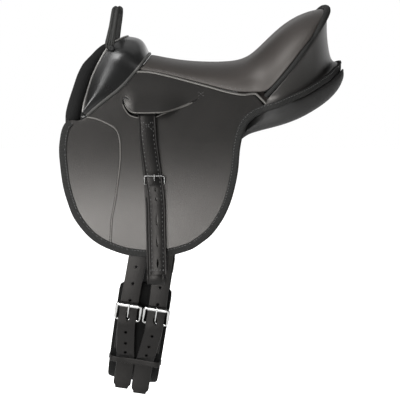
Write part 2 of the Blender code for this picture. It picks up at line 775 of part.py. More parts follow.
def make_pommel():
    grid = pommel_grid()
    normals = grid_normals(grid)
    back = POMMEL_PIPE_RADIUS + SEAT_GAP
    no_trim = [0] * len(grid)
    outer = trim_grid(grid, 0, back, no_trim)
    inner = trim_grid(offset_grid(grid, normals, -POMMEL_THICK), 0, back, no_trim)
    cover = shell("pommel_cover", outer, inner, "gloss_moulding")
    plate_top = POMMEL_THICK + SEAT_GAP
    arch = slice(2, -2)
    top = [row[arch] for row in offset_grid(grid, normals, -plate_top)[1:5]]
    under = [row[arch] for row in offset_grid(grid, normals, -plate_top - HEAD_PLATE_THICK)[1:5]]
    plate = shell("head_plate", top, under, "head_steel")
    seam = both_sides(seam_line())
    tube("pommel_piping", seam, POMMEL_PIPE_RADIUS, 8, "smooth_leather")
    rim = [Vector(p) + Vector(s) for p, s in zip(pommel_rim(), FACING_SHIFT)] + [Vector(FACING_FOOT)]
    radii = list(FACING_RADIUS) + [FACING_RADIUS[-1]]
    tube("front_facing", both_sides(rim), radii[::-1] + radii[1:], 10, "soft_facing")
    return cover, plate


# Skirts, flaps and tongues

def piping_side(line, room=SEAT_GAP):
    return inset(line, POMMEL_PIPE_RADIUS + room)


def make_skirts():
    """Fixed band between the welt and the line where the flap bends."""
    welt = [(p.x, p.z) for p in SEAT_EDGES[:len(SEAT_WELT)]] + [WELT_TAIL[0]]
    top = inset(welt, -WELT_RADIUS - SEAT_GAP - SKIRT_WELT_ROOM)
    seam = [(x, z) for x, z in [SEAT_WELT[0]] + list(POMMEL_SEAM) if z > HINGE_Z + SKIRT_SEAM_END]
    front = piping_side(seam)[1:]
    foot_z = HINGE_Z + HINGE_GAP
    foot_x = seam_x_at(foot_z) + POMMEL_PIPE_RADIUS + SKIRT_FOOT_ROOM
    foot = [(foot_x, foot_z), (top[-1][0] + SKIRT_FOOT_ROOM, foot_z)]
    top[0] = (top[0][0] + POMMEL_PIPE_RADIUS + SKIRT_TOP_ROOM, top[0][1])
    outline = front + foot + top[::-1]
    for label, side in SIDES:
        side_sheet("skirt_" + label, at_levels(outline), FLAP_IN, FLAP_OUT, side, "smooth_leather")


def seam_x_at(z):
    return along([(height, x) for x, height in POMMEL_SEAM], z)


def flap_outline():
    top_z = HINGE_Z - HINGE_GAP
    seam = [(x, z) for x, z in POMMEL_SEAM if z < top_z - 2]
    front = piping_side([(seam_x_at(top_z), top_z)] + seam, FLAP_FRONT_ROOM)
    slit = [(x, min(z, top_z)) for x, z in SLIT_EDGE]
    rear = [(FLAP_REAR_X, top_z)]
    return front + list(FLAP_LIP) + list(FLAP_EDGE) + rear + slit[::-1]


def tongue_outer(z):
    return FLAP_IN + TONGUE_THICK + TONGUE_LIFT * min((HINGE_Z - z) / TONGUE_RISE, 1.0)


def tongue_inner(z):
    thinned = TONGUE_THIN_TOP * max(1 - (HINGE_Z - z) / TONGUE_RISE, 0.0)
    return tongue_outer(z) - TONGUE_THICK + thinned


def make_flaps():
    """Flap with its bound edge and the tongue over its slit, all bending at one line."""
    outline = flap_outline()
    top_z = HINGE_Z - HINGE_GAP
    for label, side in SIDES:
        hinge = pivot("flap_hinge_" + label, (0, side * drape(HINGE_Z, FLAP_OUT), HINGE_Z))
        side_sheet("flap_" + label, at_levels(outline), FLAP_IN, FLAP_OUT, side, "smooth_leather", hinge)
        edge = FLAP_EDGE
        wrap = at_levels(inset(edge, -BIND_THICK - SEAT_GAP) + inset(edge, FLAP_BIND_WIDTH)[::-1])
        wrap_in = FLAP_IN - SEAT_GAP - BIND_THICK
        wrap_out = FLAP_OUT + SEAT_GAP + BIND_THICK
        binding = side_sheet("flap_binding_" + label, wrap, wrap_in, wrap_out, side, "ribbed_tape", hinge)
        core = longer(inset(edge, -SEAT_GAP)) + longer(inset(edge, FLAP_BIND_WIDTH + BINDING_SPACE))[::-1]
        channel = side_sheet(
            "flap_edge_space_" + label, core, FLAP_IN - SEAT_GAP, FLAP_OUT + SEAT_GAP, side, "", hinge,
            cutter=True,
        )
        cut(binding, channel)
        tongue_edge = [(x, min(z, top_z)) for x, z in TONGUE_EDGE]
        side_sheet(
            "skirt_tongue_" + label, at_levels(tongue_edge), tongue_inner, tongue_outer, side,
            "smooth_leather", hinge,
        )
        make_stirrup_leather(label, side, hinge)


def longer(line, distance=6.0):
    """The line run on past both its ends."""
    start = Vector(line[0]) + (Vector(line[0]) - Vector(line[1])).normalized() * distance
    end = Vector(line[-1]) + (Vector(line[-1]) - Vector(line[-2])).normalized() * distance
    return [tuple(start)] + list(line) + [tuple(end)]


# Panels and sweat flaps

def panel_section(x):
    """Ten points (y, z) round a panel: top, outer side, bottom edge, underside and channel."""
    rail_y = rail_face_y() - RAIL_THICK - PANEL_ROOM
    foot = along(PANEL_FOOT, x)
    shoulder = min(PANEL_SHOULDER_Z, foot + PANEL_SHOULDER_RISE)
    hip = foot * PANEL_HIP_SHARE
    belly = foot * PANEL_BELLY_SHARE
    return [
        (CHANNEL_HALF, PANEL_TOP_Z), (rail_y, RAIL_TOP_Z), (rail_y, RAIL_FOOT_Z - PANEL_SIDE_DROP),
        (drape(shoulder, PANEL_OUT), shoulder), (drape(hip, PANEL_OUT), hip), (drape(foot, PANEL_OUT), foot),
        (drape(foot, PANEL_OUT - PANEL_ROLL), foot - PANEL_ROLL_DROP),
        (drape(belly, PANEL_BELLY_LAYER), belly), (drape(PANEL_INNER_Z, PANEL_INNER_LAYER), PANEL_INNER_Z),
        (CHANNEL_HALF + PANEL_CHANNEL_FLARE, PANEL_CHANNEL_Z),
    ]


def rear_section(y, band_z, foot_z, tucked):
    """The same ten points behind the flap: tucked inside the binding band, or whole below it."""
    back = y - BAND_THICK - SEAT_GAP
    bulge = y - REAR_BULGE_ROOM
    under = band_z - BAND_HEIGHT / 2 - REAR_BAND_ROOM
    channel = min(CHANNEL_HALF - REAR_CHANNEL_IN, y - REAR_CHANNEL_ROOM)
    height = under - foot_z
    if tucked:
        top = [(channel, band_z + REAR_TUCK_RISE)]
        top += [(back - inward, band_z + rise) for inward, rise in REAR_TUCKED_TOP] + [(back, under)]
    else:
        top = [(channel, under)]
        top += [(back - inward, under - share * height) for inward, share in REAR_WHOLE_TOP]
    side = [(bulge - inward, foot_z + share * height) for inward, share in REAR_SIDE]
    return top + side + [(lerp(channel, y, way), foot_z + share * height) for way, share in REAR_UNDER]


def make_panels():
    for label, side in SIDES:
        rings = [[(x, side * y, z) for y, z in panel_section(x)] for x in PANEL_STATIONS]
        rear = []
        for i, (x, y_out, band_z, foot_z) in enumerate(PANEL_REAR):
            section = rear_section(y_out, band_z, foot_z, i < PANEL_TUCKED)
            rear.append([(x, side * y, z) for y, z in section])
        blend = [tuple(Vector(a).lerp(Vector(b), 0.5)) for a, b in zip(rings[-1], rear[0])]
        loft("panel_" + label, rings + [blend] + rear, "panel_cloth")
        side_sheet("sweat_flap_" + label, at_levels(SWEAT_EDGE), SWEAT_IN, SWEAT_OUT, side, "strap_leather")


# Cantle

def rim_line():
    """The cantle's rim from its lower right end over the top to the left."""
    first = len(SEAT_WELT)
    last = len(SEAT_MIDDLE) - 1
    side = [SEAT_EDGES[i] for i in range(first, last + 1)]
    top = [seat_point(last, 90 * k / SEAT_COLUMNS) for k in range(1, SEAT_COLUMNS + 1)]
    half = side + top
    return half + [Vector((p.x, -p.y, p.z)) for p in half[-2::-1]]


def band_line():
    half = [Vector(p) for p in BAND_LINE]
    return half + [Vector((p.x, -p.y, p.z)) for p in half[-2::-1]]


def make_cantle():
    rim = rim_line()
    band = band_line()
    count = len(rim)
    columns = []
    feet = []
    for j, low in enumerate(band):
        inward = Vector((CANTLE_CENTRE_X - low.x, -low.y, 0)).normalized()
        depth = lerp(LEDGE_SIDE, LEDGE_REAR, sin(pi * j / (count - 1)) ** LEDGE_SPREAD)
        feet.append(low + inward * depth + Vector((0, 0, LEDGE_RISE)))
    starts = drawn_in(rim, feet, [CANTLE_BIND_RADIUS + SEAT_GAP + CANTLE_TOP_ROOM] * count)
    for j, low in enumerate(band):
        turn = sin(pi * j / (count - 1))
        inward = Vector((CANTLE_CENTRE_X - low.x, -low.y, 0)).normalized()
        foot = feet[j]
        start = starts[j]
        column = []
        for k in range(CANTLE_ROWS + 1):
            t = k / CANTLE_ROWS
            hollow = CANTLE_HOLLOW * turn ** HOLLOW_SPREAD * sin(pi * t) ** HOLLOW_DEPTH_POWER
            column.append(start.lerp(foot, t) + inward * hollow)
        edge = low + inward * (BAND_THICK / 2 + CANTLE_LIP_ROOM) + Vector((0, 0, CANTLE_LIP_RISE))
        column.append(edge)
        columns.append(column)
    grid = [[column[k] for column in columns] for k in range(CANTLE_ROWS + 2)]
    normals = grid_normals(grid)
    shell("cantle_cover", grid, offset_grid(grid, normals, -CANTLE_COVER_THICK), "smooth_leather")
    tube("cantle_binding", rim, CANTLE_BIND_RADIUS, 8, "ribbed_tape")
    rings = []
    for i, point in enumerate(band):
        way = band[min(i + 1, count - 1)] - band[max(i - 1, 0)]
        out = Vector((way.y, -way.x, 0)).normalized() * (BAND_THICK / 2)
        up = Vector((0, 0, BAND_HEIGHT / 2))
        rings.append([point - out - up, point + out - up, point + out + up, point - out + up])
    loft("panel_band", rings, "ribbed_tape")


# Stirrup bars and leathers

def leather_x(z):
    return along([(height, x) for height, x in LEATHER_LINE], z)


BACK_LEG = FLAP_OUT + LEATHER_ROOM + LEATHER_THICK / 2
FRONT_LEG = BACK_LEG + LEATHER_THICK + LEATHER_ROOM
FREE_END = FRONT_LEG + LEATHER_THICK + LEATHER_ROOM


def bar_centre():
    """(y, z) of the stirrup bar, clear of the rail by the leather that goes round it."""
    y = rail_face_y() + SEAT_GAP + LEATHER_THICK + LEATHER_ROOM + BAR_RADIUS
    loop = BAR_RADIUS + LEATHER_ROOM + LEATHER_THICK
    return y, HINGE_Z - SEAT_GAP - loop + BAR_LIFT


def make_stirrup_bars():
    y, z = bar_centre()
    foot_y = rail_face_y() + SEAT_GAP
    for label, side in SIDES:
        path = [(BAR_X - BAR_HALF_SPAN, foot_y, z), (BAR_X - BAR_HALF_SPAN, y, z),
                (BAR_X + BAR_HALF_SPAN, y, z), (BAR_X + BAR_HALF_SPAN, foot_y, z)]
        tube("stirrup_bar_" + label, mirrored(path, side), BAR_RADIUS, 8, "head_steel")
        bend = BAR_RADIUS + LEATHER_ROOM + LEATHER_THICK / 2
        turn = arc((y, z), bend, *LOOP_TURN, LOOP_STEPS)
        inner_end = (drape(LEATHER_TOP_Z, BACK_LEG) - LOOP_END_IN, LEATHER_TOP_Z)
        outer_end = (inner_end[0] + LOOP_TAIL[0], inner_end[1] + LOOP_TAIL[1])
        line = [inner_end] + turn + [outer_end]
        strap("leather_loop_" + label, [(leather_x(h), side * w, h) for w, h in line],
              LEATHER_WIDTH, LEATHER_THICK, "strap_leather")


def make_stirrup_leather(label, side, hinge):
    top = LEATHER_TOP_Z
    buckle = LEATHER_BUCKLE_Z
    swing = pivot("stirrup_hinge_" + label, (BAR_X, side * drape(top, FRONT_LEG + LEATHER_THICK), top), hinge)

    def at(layer, z):
        over_binding = min(max((LEATHER_RISE_TOP - z) / (LEATHER_RISE_TOP - LEATHER_RISE_FOOT), 0), 1)
        return (drape(z, layer + BINDING_STAND * over_binding), z)

    eye = LEATHER_EYE_RADIUS
    loop = LEATHER_LOOP_Z
    middle = (BACK_LEG + FRONT_LEG) / 2
    line = [at(FREE_END + stand, LEATHER_END_Z + rise) for stand, rise in LEATHER_TIP]
    line += [at(FREE_END, z) for z in LEVELS if LEATHER_END_Z + TIP_HEIGHT < z < buckle - TIP_HEIGHT]
    line += [at(FREE_END + stand, buckle + rise) for stand, rise in LEATHER_INTO_BUCKLE]
    line += [at(FRONT_LEG + stand, buckle + rise) for stand, rise in LEATHER_OUT_OF_BUCKLE]
    line += [at(FRONT_LEG, z) for z in LEVELS if buckle + LEG_ROOM < z < top - LEG_ROOM]
    inward, drop = LEATHER_TOP_FOLD
    line += [at(FRONT_LEG, top - drop), at(FRONT_LEG - inward, top), at(BACK_LEG + inward, top)]
    line += [at(BACK_LEG, top - drop)]
    line += [at(BACK_LEG, z) for z in LEVELS[::-1] if loop + EYE_HEIGHT < z < top - LEG_ROOM]
    line += [at(BACK_LEG, loop + EYE_HEIGHT)]
    line += [at(middle + eye * reach, loop + rise) for reach, rise in EYE_SHAPE]
    line += [at(FRONT_LEG, loop + EYE_HEIGHT)]
    line += [at(FRONT_LEG, z) for z in LEVELS if loop + EYE_HEIGHT < z < buckle - LEG_ROOM]
    line += [at(FRONT_LEG, buckle - LEG_END_DROP)]
    path = [(leather_x(z), side * y, z) for y, z in line]
    leather = strap("stirrup_leather_" + label, path, LEATHER_WIDTH, LEATHER_THICK, "strap_leather", swing)
    hole_z = buckle - LEATHER_HOLE_DROP
    inner, outer = LEATHER_HOLE_REACH
    hole = loft("stirrup_prong_hole_" + label,
                rod_rings((leather_x(hole_z), side * drape(hole_z, FRONT_LEG - inner), hole_z),
                          (leather_x(hole_z), side * drape(hole_z, FREE_END + outer), hole_z), *LEATHER_HOLE),
                "", parent=swing, cutter=True)
    cut(leather, hole)
    make_stirrup_buckle(label, side, swing)


def make_stirrup_buckle(label, side, swing):
    wire = STIRRUP_WIRE
    buckle = LEATHER_BUCKLE_Z
    low_z = buckle - STIRRUP_BUCKLE_LOW
    high_z = buckle + STIRRUP_BUCKLE_HIGH
    over_leather = FRONT_LEG + LEATHER_OUT_OF_BUCKLE[0][0] + LEATHER_THICK / 2
    low_y = drape(low_z, FREE_END - LEATHER_THICK / 2 - SEAT_GAP - wire)
    high_y = drape(high_z, over_leather + SEAT_GAP + wire)
    x = leather_x(buckle)
    half = LEATHER_WIDTH / 2 + STIRRUP_BUCKLE_ROOM + wire
    ring = frame_path(half, (high_z - low_z) / 2, STIRRUP_BUCKLE_CORNER, 3)
    path = []
    for across, up in ring:
        t = (up + (high_z - low_z) / 2) / (high_z - low_z)
        path.append((x + across, side * lerp(low_y, high_y, t), lerp(low_z, high_z, t)))
    tube("stirrup_buckle_" + label, path, wire, 6, "chromed_steel", closed=True, parent=swing)
    prong = STIRRUP_PRONG_RADIUS
    bend = wire + HOOK_ROOM + prong
    hook = arc((low_y, low_z), bend, *STIRRUP_HOOK_TURN, 4)
    tip = (high_y + wire + SEAT_GAP + prong, high_z)
    line = hook + [tip, (tip[0] - STIRRUP_PRONG_TIP[0], tip[1] + STIRRUP_PRONG_TIP[1])]
    pin = pivot("stirrup_prong_pin_" + label, (x, side * low_y, low_z), swing)
    path = [(x, side * y, z) for y, z in line]
    tube("stirrup_buckle_tongue_" + label, path, prong, 6, "chromed_steel", parent=pin)


def frame_path(half_width, half_height, corner, steps):
    """Closed rounded rectangle as (across, up)."""
    path = []
    for right, top, start in ((1, 1, 0), (-1, 1, 90), (-1, -1, 180), (1, -1, 270)):
        centre = (right * (half_width - corner), top * (half_height - corner))
        path += arc(centre, corner, start, start + 90, steps - 1)
    return path


# Girth

def leaned(point):
    """A point of the upright girth, turned as it hangs. Where the billets are draped it only shifts."""
    x, y, z = point
    turn = atan2(GIRTH_LEAN, 1)
    share = min(max((LEAN_FADE_TOP - z) / (LEAN_FADE_TOP - LEAN_FADE_FOOT), 0), 1)
    across = x - GIRTH_X
    up = z - BUCKLE_Z
    scale = lerp(1, cos(turn), share)
    drop = across * sin(turn) * share
    return Vector((GIRTH_X + across * scale + up * sin(turn), y, BUCKLE_Z + up * scale - drop))


def leaned_rings(rings):
    return [[leaned(p) for p in ring] for ring in rings]


def pad_y(z, layer):
    """Half-width of the girth pad's middle at height z, moved out by layer."""
    middle = BARREL_HALF_WIDTH - ROOM_UNDER_BILLET - PAD_THICK / 2
    drop = max(BARREL_CENTRE_Z - z, 0) / PAD_DROP
    return middle * (1 - drop ** PAD_SQUARENESS) ** (1 / PAD_SQUARENESS) + layer


ROLLER_Y = BILLET_OUT + SEAT_GAP + ROLLER_RADIUS
HOOK_BEND = BUCKLE_WIRE + HOOK_ROOM + PRONG_RADIUS
LOWER_BAR_Y = BILLET_IN - SEAT_GAP - PRONG_RADIUS - HOOK_BEND
ROOM_UNDER_BILLET = -LOWER_BAR_Y + BUCKLE_WIRE + SEAT_GAP + CHAPE_THICK + SEAT_GAP


def make_girth():
    hang = pivot("girth_hinge", (leaned((GIRTH_X, 0, BILLET_TOP_Z)).x, 0, BILLET_TOP_Z))
    make_pad(hang)
    for label, side in SIDES:
        for place, shift, end_z in zip(("front", "rear"), (-1, 1), BILLET_END_Z):
            tag = f"{place}_{label}"
            x = GIRTH_X + shift * BILLET_SPACING / 2
            make_billet(tag, side, shift, end_z, hang)
            make_girth_buckle(tag, side, x, hang)
            make_chape(tag, side, x, hang)
        make_keeper(label, side, hang)


def make_pad(hang):
    half = PAD_WIDTH / 2
    thick = PAD_THICK / 2
    edge, edge_thick, flat = half - PAD_EDGE, thick * PAD_EDGE_SHARE, half - PAD_SHOULDER
    section = ((-half, 0), (-edge, -edge_thick), (-flat, -thick), (flat, -thick), (edge, -edge_thick),
               (half, 0), (edge, edge_thick), (flat, thick), (-flat, thick), (-edge, edge_thick))
    drops = [sin(radians(90 * k / PAD_STEPS)) for k in range(PAD_STEPS + 1)]
    side = [(pad_y(PAD_TOP_Z, 0), PAD_TOP_Z)]
    side += [(pad_y(BARREL_CENTRE_Z - PAD_DROP * d, 0), BARREL_CENTRE_Z - PAD_DROP * d) for d in drops]
    line = side + [(-y, z) for y, z in side[-2::-1]]
    rings = []
    for i, (y, z) in enumerate(line):
        before = line[max(i - 1, 0)]
        after = line[min(i + 1, len(line) - 1)]
        way = Vector((after[0] - before[0], after[1] - before[1])).normalized()
        out = Vector((0, -way.y, way.x))
        rings.append([Vector((GIRTH_X + a, y, z)) + out * b for a, b in section])
    loft("girth_pad", leaned_rings(rings), "girth_cloth", parent=hang)


def billet_line(end_z):
    """(y, z) of a billet's middle, from the tree's rail down through the buckle to its free end."""
    middle = BILLET_IN + BILLET_THICK / 2
    top_y = rail_face_y() + SEAT_GAP + BILLET_RAIL_ROOM + BILLET_THICK / 2
    first = BILLET_FIRST_Z
    line = [(top_y, BILLET_TOP_Z), (top_y, RAIL_FOOT_Z - BILLET_RAIL_DROP), (drape(first, middle), first)]
    levels = [z for z in LEVELS[::-1] if BUCKLE_Z + BILLET_OVER_BAR < z < first - BILLET_LEVEL_ROOM]
    line += [(drape(z, middle), z) for z in levels]
    line += [(drape(BUCKLE_Z - down, middle + shift), BUCKLE_Z - down) for down, shift in BILLET_UNDER_BAR]
    clear = PAD_THICK / 2 + SEAT_GAP + 2 * CHAPE_THICK + BILLET_CHAPE_ROOM + BILLET_THICK / 2
    line += [(pad_y(z, clear + BILLET_LAID_STAND), z) for z in BILLET_LAID_Z]
    kept_y = pad_y(BILLET_KEPT_Z, clear + BILLET_KEPT_STAND)
    line += [(kept_y, BILLET_KEPT_Z), (kept_y - BILLET_END_IN, end_z)]
    return line


def billet_x(shift, z):
    """Middle of a billet, which closes up to its neighbour under the flap and at the keeper."""
    spacings = ((BILLET_KEPT_Z, BILLET_KEPT_SPACING), (BUCKLE_Z - BUCKLE_RISE, BILLET_SPACING),
                (BILLET_SPREAD_Z[0], BILLET_SPACING), (BILLET_SPREAD_Z[1], BILLET_UPPER_SPACING))
    spacing = along(spacings, z)
    return GIRTH_X + shift * spacing / 2


def make_billet(tag, side, shift, end_z, hang):
    path = [(billet_x(shift, z), side * y, z) for y, z in billet_line(end_z)]
    rings = leaned_rings(strap_rings(path, BILLET_WIDTH, BILLET_THICK))
    billet = loft("billet_" + tag, rings, "strap_leather", parent=hang)
    prong_z = BUCKLE_Z - HOLE_DROP
    for k, rise in enumerate(HOLE_RISES):
        z = prong_z + rise
        x = billet_x(shift, z)
        wide, tall = (PRONG_SLOT_WIDE, PRONG_SLOT_HALF) if rise == 0 else (HOLE_RADIUS, HOLE_RADIUS)
        y = along([(height, w) for w, height in billet_line(end_z)], z)
        rings = rod_rings((x, side * (y - HOLE_REACH), z), (x, side * (y + HOLE_REACH), z), wide, tall, 8)
        hole = loft(f"billet_hole_{tag}_{k + 1}", leaned_rings(rings), "", parent=hang, cutter=True)
        cut(billet, hole)


def make_girth_buckle(tag, side, x, hang):
    roller_y = BARREL_HALF_WIDTH + ROLLER_Y
    lower_y = BARREL_HALF_WIDTH + LOWER_BAR_Y
    top_z = BUCKLE_Z + BUCKLE_RISE / 2
    low_z = BUCKLE_Z - BUCKLE_RISE / 2
    path = []
    for across, up in frame_path(BUCKLE_SPAN / 2, BUCKLE_RISE / 2, BUCKLE_CORNER, 3):
        t = (up + BUCKLE_RISE / 2) / BUCKLE_RISE
        path.append(leaned((x + across, side * lerp(lower_y, roller_y, t), lerp(low_z, top_z, t))))
    tube("girth_buckle_" + tag, path, BUCKLE_WIRE, 8, "chromed_steel", closed=True, parent=hang)

    roller_pin = pivot("roller_pin_" + tag, leaned((x, side * roller_y, top_z)), hang)
    half = BUCKLE_SPAN / 2 - BUCKLE_CORNER - SEAT_GAP
    rings = []
    tube_profile = ((-half, ROLLER_BORE), (-half, ROLLER_RADIUS), (half, ROLLER_RADIUS), (half, ROLLER_BORE))
    for across, radius in tube_profile:
        circle = arc((side * roller_y, top_z), radius, 0, 330, 11)
        rings.append([(x + across, y, z) for y, z in circle])
    loft("girth_roller_" + tag, leaned_rings(rings), "chromed_steel", closed=True, parent=roller_pin)

    tongue_pin = pivot("girth_tongue_pin_" + tag, leaned((x, side * lower_y, low_z)), hang)
    tip_y = roller_y + ROLLER_RADIUS + SEAT_GAP + PRONG_RADIUS
    line = arc((lower_y, low_z), HOOK_BEND, *HOOK_TURN, 5)
    line += [(tip_y, top_z + rise) for rise in TONGUE_TIP_RISES]
    path = [leaned((x, side * y, z)) for y, z in line]
    tube("girth_tongue_" + tag, path, PRONG_RADIUS, 6, "chromed_steel", parent=tongue_pin)


def make_chape(tag, side, x, hang):
    """Leather fold round the buckle's lower bar, both ends sewn to the pad."""
    bar_y = BARREL_HALF_WIDTH + LOWER_BAR_Y
    bar_z = BUCKLE_Z - BUCKLE_RISE / 2
    bend = BUCKLE_WIRE + SEAT_GAP + CHAPE_THICK / 2
    back = PAD_THICK / 2 + SEAT_GAP + CHAPE_THICK / 2
    front = back + CHAPE_THICK + CHAPE_ROOM
    line = [(pad_y(z, back), z) for z in (CHAPE_FOOT_Z, *CHAPE_BENDS_Z)]
    line += arc((bar_y, bar_z), bend, 180, 0, 5)
    line += [(pad_y(z, front), z) for z in (*CHAPE_BENDS_Z[::-1], CHAPE_FOOT_Z)]
    rings = leaned_rings(strap_rings([(x, side * y, z) for y, z in line], CHAPE_WIDTH, CHAPE_THICK))
    chape = loft("girth_chape_" + tag, rings, "strap_leather", parent=hang)
    slot_z = bar_z + CHAPE_SLOT_RISE
    ends = [(x, side * (bar_y + reach), slot_z) for reach in (-CHAPE_SLOT_REACH, CHAPE_SLOT_REACH)]
    slot = rod_rings(*ends, *CHAPE_SLOT, 8)
    cut(chape, loft("chape_slot_" + tag, leaned_rings(slot), "", parent=hang, cutter=True))


def make_keeper(label, side, hang):
    """Strap across the pad that holds both billets' free ends."""
    low = KEEPER_Z - KEEPER_HEIGHT / 2
    high = KEEPER_Z + KEEPER_HEIGHT / 2
    billets = [(height, y) for y, height in billet_line(BILLET_END_Z[1])]
    over = along(billets, high) + BILLET_THICK / 2 + KEEPER_ROOM + SEAT_GAP
    half = PAD_WIDTH / 2
    rings = []
    for z in (low, high):
        foot = pad_y(z, PAD_THICK / 2 + SEAT_GAP)
        top = foot + KEEPER_THICK + KEEPER_FOOT_RISE
        under, shoulder = half - KEEPER_FOOT, half - KEEPER_SHOULDER
        band = [(-half, foot), (-under, over), (under, over), (half, foot), (half, top),
                (shoulder, over + KEEPER_THICK), (-shoulder, over + KEEPER_THICK), (-half, top)]
        rings.append([(GIRTH_X + a, side * b, z) for a, b in band])
    loft("girth_keeper_" + label, leaned_rings(rings), "strap_leather", parent=hang)


# Handle

def make_handle(cover, plate):
    foot = HANDLE_FOOT_Y + HANDLE_THICK / 2
    shape = [(foot, HANDLE_FOOT_Z, HANDLE_FOOT_BACK), (foot, HANDLE_SCREW_Z + HANDLE_SCREW_RISE, 0)]
    shape += [(foot - inward, HANDLE_TOP_Z - drop, back) for inward, drop, back in HANDLE_BEND]
    shape.append((0, HANDLE_TOP_Z + HANDLE_CROWN, 1))
    half = [(HANDLE_SCREW_X - HANDLE_SHIFT + back * HANDLE_LEAN, y, z) for y, z, back in shape]
    path = half + [(x, -y, z) for x, y, z in half[-2::-1]]
    pin = pivot("handle_pin", (HANDLE_SCREW_X, 0, HANDLE_SCREW_Z))
    handle = strap("handle", path, HANDLE_WIDTH, HANDLE_THICK, "ribbed_tape", pin)
    for label, side in SIDES:
        reach = HANDLE_FOOT_Y + HANDLE_THICK + SEAT_GAP
        stations = ((reach - SCREW_LENGTH, SCREW_RADIUS), (reach, SCREW_RADIUS), (reach, SCREW_HEAD_RADIUS),
                    (reach + SCREW_HEAD_HEIGHT, SCREW_HEAD_RADIUS - SCREW_HEAD_TAPER))
        rings = []
        for y, radius in stations:
            circle = arc((HANDLE_SCREW_X, HANDLE_SCREW_Z), radius, 0, 324, 9)
            rings.append([(x, side * y, z) for x, z in circle])
        loft("handle_screw_" + label, rings, "gloss_moulding")
        bore_ends = (reach - SCREW_BORE_DEPTH, reach + SCREW_BORE_OUT)
        ends = [(HANDLE_SCREW_X, side * y, HANDLE_SCREW_Z) for y in bore_ends]
        bore = SCREW_RADIUS + SEAT_GAP
        hole = loft("screw_hole_" + label, rod_rings(*ends, bore, bore, 10), "", cutter=True)
        for piece in (handle, cover, plate):
            cut(piece, hole)


def main():
    for old in list(bpy.data.objects):
        bpy.data.objects.remove(old)
    make_seat()
    make_welts()
    cover, plate = make_pommel()
    make_skirts()
    make_flaps()
    make_panels()
    make_cantle()
    make_stirrup_bars()
    make_girth()
    make_handle(cover, plate)


main()
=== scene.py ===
"""Looks of the child's saddle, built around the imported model.

X runs from the pommel to the cantle, Y across the saddle and Z up. Sizes are in metres. Lists of
points are in millimetres, and mm() turns them into places in the scene.
"""

from math import asin, atan, cos, pi, radians, sin, sqrt, tan

import bmesh
import bpy
from mathutils import Matrix, Vector
from mathutils.geometry import interpolate_bezier


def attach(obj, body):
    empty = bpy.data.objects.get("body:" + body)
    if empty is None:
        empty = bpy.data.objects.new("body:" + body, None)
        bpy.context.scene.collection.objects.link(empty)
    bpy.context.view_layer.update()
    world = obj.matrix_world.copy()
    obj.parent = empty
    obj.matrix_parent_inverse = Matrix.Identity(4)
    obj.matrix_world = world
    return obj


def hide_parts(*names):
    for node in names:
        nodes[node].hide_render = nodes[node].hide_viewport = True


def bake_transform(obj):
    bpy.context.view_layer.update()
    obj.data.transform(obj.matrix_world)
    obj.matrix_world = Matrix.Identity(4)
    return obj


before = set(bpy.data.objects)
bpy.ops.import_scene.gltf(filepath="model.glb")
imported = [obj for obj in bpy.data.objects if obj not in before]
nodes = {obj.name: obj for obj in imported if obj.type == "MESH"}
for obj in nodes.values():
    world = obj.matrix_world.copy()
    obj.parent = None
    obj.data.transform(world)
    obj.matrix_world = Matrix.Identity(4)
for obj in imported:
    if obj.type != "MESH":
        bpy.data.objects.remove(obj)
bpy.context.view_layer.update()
SIDES = (("left", -1), ("right", 1))

# Room: a pale floor that keeps the saddle's shadow, a studio that is white low down and dark overhead,
# soft lamps, and a camera square on to the near side, a little above the seat and some way off.
AIM = Vector((0, 0, -0.122))
CAMERA_DISTANCE = 1.575
CAMERA_DOWN = radians(11)
PHOTO_SIDE = 400
FOCAL_PIXELS = 1050
SENSOR_MM = 36.0
FLOOR_Z = -0.62
FLOOR_SIZE = 8
FLOOR_COLOUR = (0.8, 0.8, 0.8, 1)
FLOOR_GLOW = 0.9
WALL_TOP = (0.0, 0.2)
CEILING = 0.1
FILL = 0.25
WHITE = (1, 1, 1, 1)


class Field:
    """A value that changes over a surface: a socket on which sums are written as plain maths."""

    def __init__(self, tree, socket):
        self.tree = tree
        self.socket = socket

    def node(self, kind, settings, inputs, output=0):
        """Any node of the same material: its settings first, then the values or links of its sockets."""
        made = self.tree.nodes.new(kind)
        for key, value in settings.items():
            setattr(made, key, value)
        for key, value in inputs.items():
            if isinstance(value, Field):
                self.tree.links.new(value.socket, made.inputs[key])
            else:
                made.inputs[key].default_value = value
        return Field(self.tree, made.outputs[output])

    def maths(self, operation, first, second=0.0):
        return self.node("ShaderNodeMath", {"operation": operation}, {0: first, 1: second})

    def __add__(self, other):
        return self.maths("ADD", self, other)

    def __rsub__(self, other):
        return self.maths("SUBTRACT", other, self)

    def __mul__(self, other):
        return self.maths("MULTIPLY", self, other)

    def __pow__(self, other):
        return self.maths("POWER", self, other)

    __radd__ = __add__

    def between(self, low, high):
        """0 below low, 1 above high and smooth in between."""
        limits = {0: self, 1: low, 2: high}
        return self.node("ShaderNodeMapRange", {"interpolation_type": "SMOOTHSTEP"}, limits)

    def mixed(self, first, second):
        """The first colour where the field is 0, the second where it is 1."""
        sockets = {0: self, 6: first, 7: second}
        return self.node("ShaderNodeMix", {"data_type": "RGBA"}, sockets, output=2)


def plain_rays(tree):
    """1 for the rays that show the background: the camera's own, and those off metal and through glass."""
    rays = tree.nodes.new("ShaderNodeLightPath").outputs
    return sum(Field(tree, rays[f"Is {kind} Ray"]) for kind in ("Camera", "Glossy", "Transmission"))


stand = AIM + Vector((0, -cos(CAMERA_DOWN), sin(CAMERA_DOWN))) * CAMERA_DISTANCE
bpy.ops.object.camera_add(location=stand, rotation=(pi / 2 - CAMERA_DOWN, 0, 0))
camera = bpy.context.object
camera.data.sensor_width = SENSOR_MM
camera.data.lens = SENSOR_MM * FOCAL_PIXELS / PHOTO_SIDE
bpy.context.scene.camera = camera
bpy.context.scene.view_settings.view_transform = "Standard"

